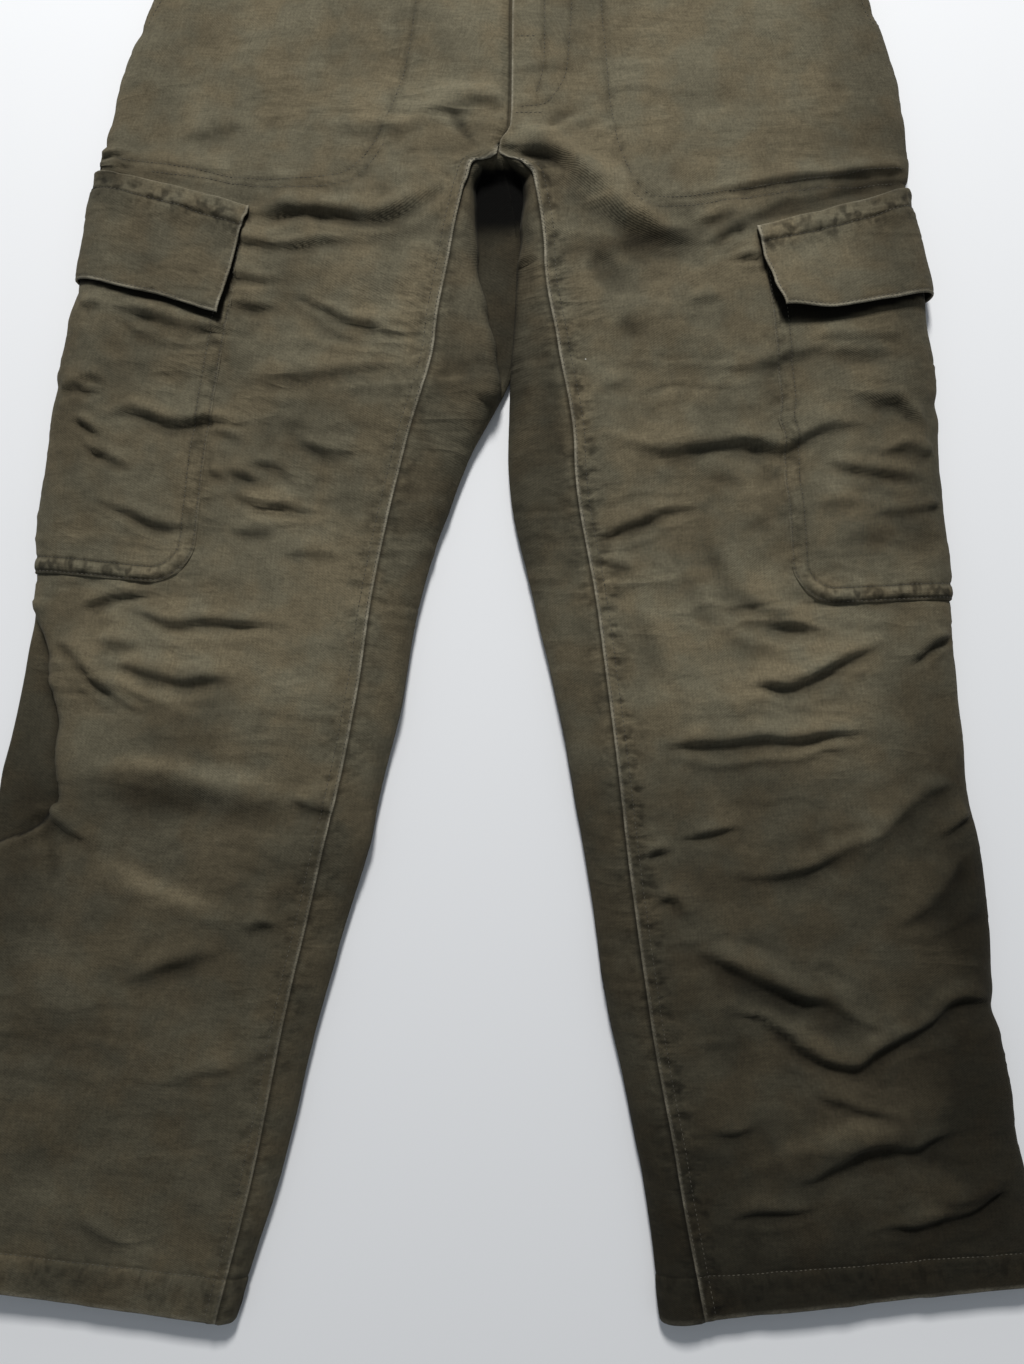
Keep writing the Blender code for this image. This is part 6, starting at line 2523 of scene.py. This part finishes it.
@dataclass(frozen=True)
class ZipTape:
    """Dark woven tape."""

    colour: Colour = (0.030, 0.028, 0.022)
    pale: Colour = (0.05, 0.047, 0.038)

    def make(self) -> bpy.types.Material:
        """Build the material."""
        g = Graph("zip_tape")
        weave = g.node("ShaderNodeTexWave", {"Vector": g.cloth(), "Scale": 260.0,
                                             "Distortion": 0.4}).outputs["Fac"]
        g.paint(g.mix(g.spread(weave, 0.0, 1.0, 0.0, 0.5), self.colour, self.pale))
        g.shader.inputs["Roughness"].default_value = 0.75
        g.emboss(weave, 0.15 * MM)
        return g.material


@dataclass(frozen=True)
class Metal:
    """Dull brass of the zip's teeth and slider."""

    colour: Colour = (0.30, 0.24, 0.14)
    tarnished: Colour = (0.13, 0.11, 0.075)

    def make(self) -> bpy.types.Material:
        """Build the material."""
        g = Graph("dull_brass")
        tarnish = g.noise(g.place(), 3.0 * MM, 3.0)
        g.paint(g.mix(g.spread(tarnish, 0.35, 0.65), self.colour, self.tarnished))
        g.tree.links.new(g.spread(tarnish, 0.3, 0.7, 0.32, 0.55), g.shader.inputs["Roughness"])
        g.shader.inputs["Metallic"].default_value = 1.0
        return g.material


@dataclass(frozen=True)
class Horn:
    """Dark horn-look button with faint streaks."""

    colour: Colour = (0.022, 0.019, 0.014)
    streaks: Colour = (0.060, 0.050, 0.034)

    def make(self) -> bpy.types.Material:
        """Build the material."""
        g = Graph("button_horn")
        streak = g.noise(g.place(), 3.0 * MM, 4.0, stretch=(1.0, 0.25, 1.0))
        g.paint(g.mix(g.spread(streak, 0.40, 0.70), self.colour, self.streaks))
        g.tree.links.new(g.spread(streak, 0.3, 0.7, 0.28, 0.42), g.shader.inputs["Roughness"])
        return g.material


# ------------------------------------------------------------------ studio
@dataclass
class Studio:
    """Pale floor, a soft key light from the waist side, fill, and the camera."""

    floor_size: float = 9.0
    floor_level: float = -0.3 * MM
    floor_colour: Colour = (0.80, 0.81, 0.83)
    camera_place: tuple[float, float, float] = (0.037, -0.173, 0.70)
    camera_tilt: float = math.radians(4.0)
    lens: float = 27.0
    key_place: tuple[float, float, float] = (-0.08, 2.20, 2.00)
    key_target: tuple[float, float, float] = (0.0, 0.10, 0.0)
    key_size: float = 0.55
    key_power: float = 98.0
    key_colour: Colour = (1.0, 0.985, 0.96)
    sky: Colour = (0.86, 0.93, 1.0)
    sky_strength: float = 0.25

    def build(self) -> None:
        """Make the floor, the lights and the camera."""
        bm = bmesh.new()
        bmesh.ops.create_grid(bm, x_segments=1, y_segments=1, size=self.floor_size / 2)
        bmesh.ops.translate(bm, verts=bm.verts[:], vec=(0.0, 0.0, self.floor_level))
        floor = finished("floor", bm)
        g = Graph("pale_floor")
        g.shader.inputs["Base Color"].default_value = (*self.floor_colour, 1.0)
        g.shader.inputs["Roughness"].default_value = 0.9
        floor.data.materials.append(g.material)
        self.light()
        self.world()
        data = bpy.data.cameras.new("camera")
        data.lens = self.lens
        data.sensor_width = 36.0
        data.clip_start = 0.01
        camera = bpy.data.objects.new("camera", data)
        camera.location = self.camera_place
        camera.rotation_euler = (self.camera_tilt, 0.0, 0.0)
        bpy.context.scene.collection.objects.link(camera)
        bpy.context.scene.camera = camera
        bpy.context.scene.view_settings.view_transform = "Standard"

    def light(self) -> None:
        """Add the key light, a square aimed at the garment."""
        data = bpy.data.lights.new("key", "AREA")
        data.size = self.key_size
        data.energy = self.key_power
        data.color = self.key_colour
        lamp = bpy.data.objects.new("key", data)
        lamp.location = self.key_place
        aim = Vector(self.key_target) - Vector(self.key_place)
        lamp.rotation_euler = aim.to_track_quat("-Z", "Y").to_euler()
        bpy.context.scene.collection.objects.link(lamp)

    def world(self) -> None:
        """Even light from all round."""
        world = bpy.data.worlds.new("room")
        world.use_nodes = True
        back = world.node_tree.nodes["Background"]
        back.inputs["Color"].default_value = (*self.sky, 1.0)
        back.inputs["Strength"].default_value = self.sky_strength
        bpy.context.scene.world = world


RIGHT_LEG = Leg(Side.RIGHT, RIGHT_SECTIONS, RIGHT_LEDGE_IN, RIGHT_LEDGE_OUT, RIGHT_NOTCHES)
LEFT_LEG = Leg(Side.LEFT, LEFT_SECTIONS, LEFT_LEDGE_IN, NO_LEDGE, LEFT_NOTCHES)
RIGHT_CLOTH = Cloth(RIGHT_LEG, LEFT_LEG)
LEFT_CLOTH = Cloth(LEFT_LEG, RIGHT_LEG)


def sew_leg(stitching: Stitching, front: FrontPanel, back: BackPanel) -> None:
    """Add the rows of a leg: beside the inseam, at the side, the slant pocket and the hem.

    Args:
        stitching: the stitch maker.
        front: the front panel.
        back: the back panel.
    """
    leg = front.cloth.leg
    downs = steps(0.006, HEM - 0.004)
    for inset in front.seam_rows:
        stitching.add(front.skin(downs, leg.seam(downs) - inset))
    downs = steps(SLANT_END, HEM - 0.004)
    stitching.add(front.skin(downs, np.full_like(downs, OUTSEAM + front.side_row)))
    downs = steps(WAIST_SEAM + 0.002, SLANT_END - 0.004)
    for inset in front.slant_rows:
        stitching.add(front.skin(downs, slant_over(downs) + inset))
    level = np.array(HEM_STITCH)
    seam, fold, under = (float(end(level)) for end in (leg.seam, leg.top_end, leg.under_end))
    for part, overs in ((front, steps(OUTSEAM, seam - 0.001)),
                        (back, steps(OUTSEAM - 0.001, -under + 0.001)),
                        (back, steps(fold, seam + 0.002))):
        stitching.add(part.skin(np.full_like(overs, HEM_STITCH), overs))


def sew_flap(stitching: Stitching, flap: CargoFlap, count: int = 100,
             seam_count: int = 110) -> None:
    """Add the rows of a flap: round its edge, and the seam that sews it down.

    Args:
        stitching: the stitch maker.
        flap: the flap.
        count: points along its free edge.
        seam_count: points along the seam.
    """
    inset, wide, tall = flap.edge_row, flap.shape.sides[0][1], float(flap.tall(np.array(0.110)))
    side = -1.0 + inset / wide
    end = steps(inset / tall, 1.0 - inset / tall, 0.026)
    free = 1.0 - inset / flap.tall(np.linspace(-0.108, 0.108, count))
    across = np.concatenate([np.full(end.size, side), np.linspace(side, -side, count),
                             np.full(end.size, -side)])
    back = steps(1.0 - inset / tall, inset / tall, 0.026)
    stitching.add(flap.skin(np.concatenate([end, free, back]), across))
    across = np.linspace(-1.0 + 2 * inset / wide, 1.0 - 2 * inset / wide, seam_count)
    stitching.add(flap.skin(np.full_like(across, flap.seam_share), across))


def sew(stitching: Stitching, parts: dict[str, Part],
        trees: list[BVHTree]) -> list[bpy.types.Object]:
    """Sew all rows of stitches.

    Args:
        stitching: the stitch maker.
        parts: the cloth pieces by name.
        trees: the top panels, to lay plan lines on.

    Returns:
        The new pieces.
    """
    made = []
    for side in ("right", "left"):
        sew_leg(stitching, parts[f"{side}_front_panel"], parts[f"{side}_back_panel"])
        made.append(stitching.build(f"{side}_leg_stitches"))
        pocket = parts[f"{side}_cargo_pocket"]
        for inset in (pocket.first_row, pocket.second_row):
            stitching.add(pocket.skin(*pocket_line(pocket, inset)))
        made.append(stitching.build(f"{side}_pocket_stitches"))
        sew_flap(stitching, parts[f"{side}_cargo_flap"])
        made.append(stitching.build(f"{side}_flap_stitches"))
    for line in FLY_LINES + BAG_LINES + BAR_TACKS:
        stitching.add(lay_line(line, trees))
    made.append(stitching.build("fly_and_bag_stitches"))
    return made


def pocket_line(pocket: CargoPocket, inset: float) -> tuple[Array, Array]:
    """Line inside the pocket's edge, down one side, round the bottom and up the other.

    Args:
        pocket: the pocket.
        inset: distance from its edge.

    Returns:
        Distances below the crotch line and round the leg.
    """
    radius = pocket.corner - inset
    side, low = pocket.reach - pocket.corner, pocket.bottom - pocket.corner
    turn = np.linspace(0.0, math.pi / 2, 14)
    down = np.concatenate([steps(POCKET_TOP + 0.004, low), low + radius * np.sin(turn)])
    over = np.concatenate([np.full(down.size - turn.size, side + radius),
                           side + radius * np.cos(turn)])
    bottom = steps(side, -side)
    return (np.concatenate([down, np.full(bottom.size, low + radius), down[::-1]]),
            np.concatenate([over, bottom, -over[::-1]]))


def tree_of(piece: bpy.types.Object) -> BVHTree:
    """Search tree of a piece's plain mesh."""
    return BVHTree.FromPolygons([vert.co[:] for vert in piece.data.vertices],
                                [face.vertices[:] for face in piece.data.polygons])


def main() -> None:
    """Build every piece of the garment and the studio round it."""
    logging.basicConfig(level=logging.INFO, format="%(message)s")
    canvas, thread = Canvas().make(), Thread().make()
    Studio().build()
    parts = {}
    for cloth in (RIGHT_CLOTH, LEFT_CLOTH):
        for kind in (FrontPanel, BackPanel, HipPocket, CargoPocket, CargoFlap):
            part = kind(cloth)
            parts[part.name] = part
    shown, trees = {}, []
    for name, part in parts.items():
        piece = part.build()
        piece.name = name + "_cloth"
        dress(piece, canvas)
        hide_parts(name)
        shown[name] = piece
        if name.endswith("front_panel"):
            trees.append(tree_of(piece))
        LOG.info("%s: %d points", piece.name, len(piece.data.vertices))
    shown["waistband"] = Waistband().build()
    shown["waistband"].name = "waistband_cloth"
    tape, teeth = FlyZip().build()
    button, button_thread = WaistButton().build()
    for piece, name, material, slot in (
            (shown["waistband"], "waistband", canvas, "canvas"),
            (tape, "fly_zip", ZipTape().make(), "zip_tape"),
            (teeth, "", Metal().make(), "zip_tape"),
            (button, "waist_button", Horn().make(), "button"),
            (button_thread, "", thread, "button")):
        dress(piece, material)
        if name:
            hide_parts(name)
        LOG.info("%s: %d points", piece.name, len(piece.data.vertices))
    for piece in sew(Stitching(), parts, trees):
        dress(piece, thread)
        LOG.info("%s: %d faces", piece.name, len(piece.data.polygons))


if __name__ == "__main__":
    main()
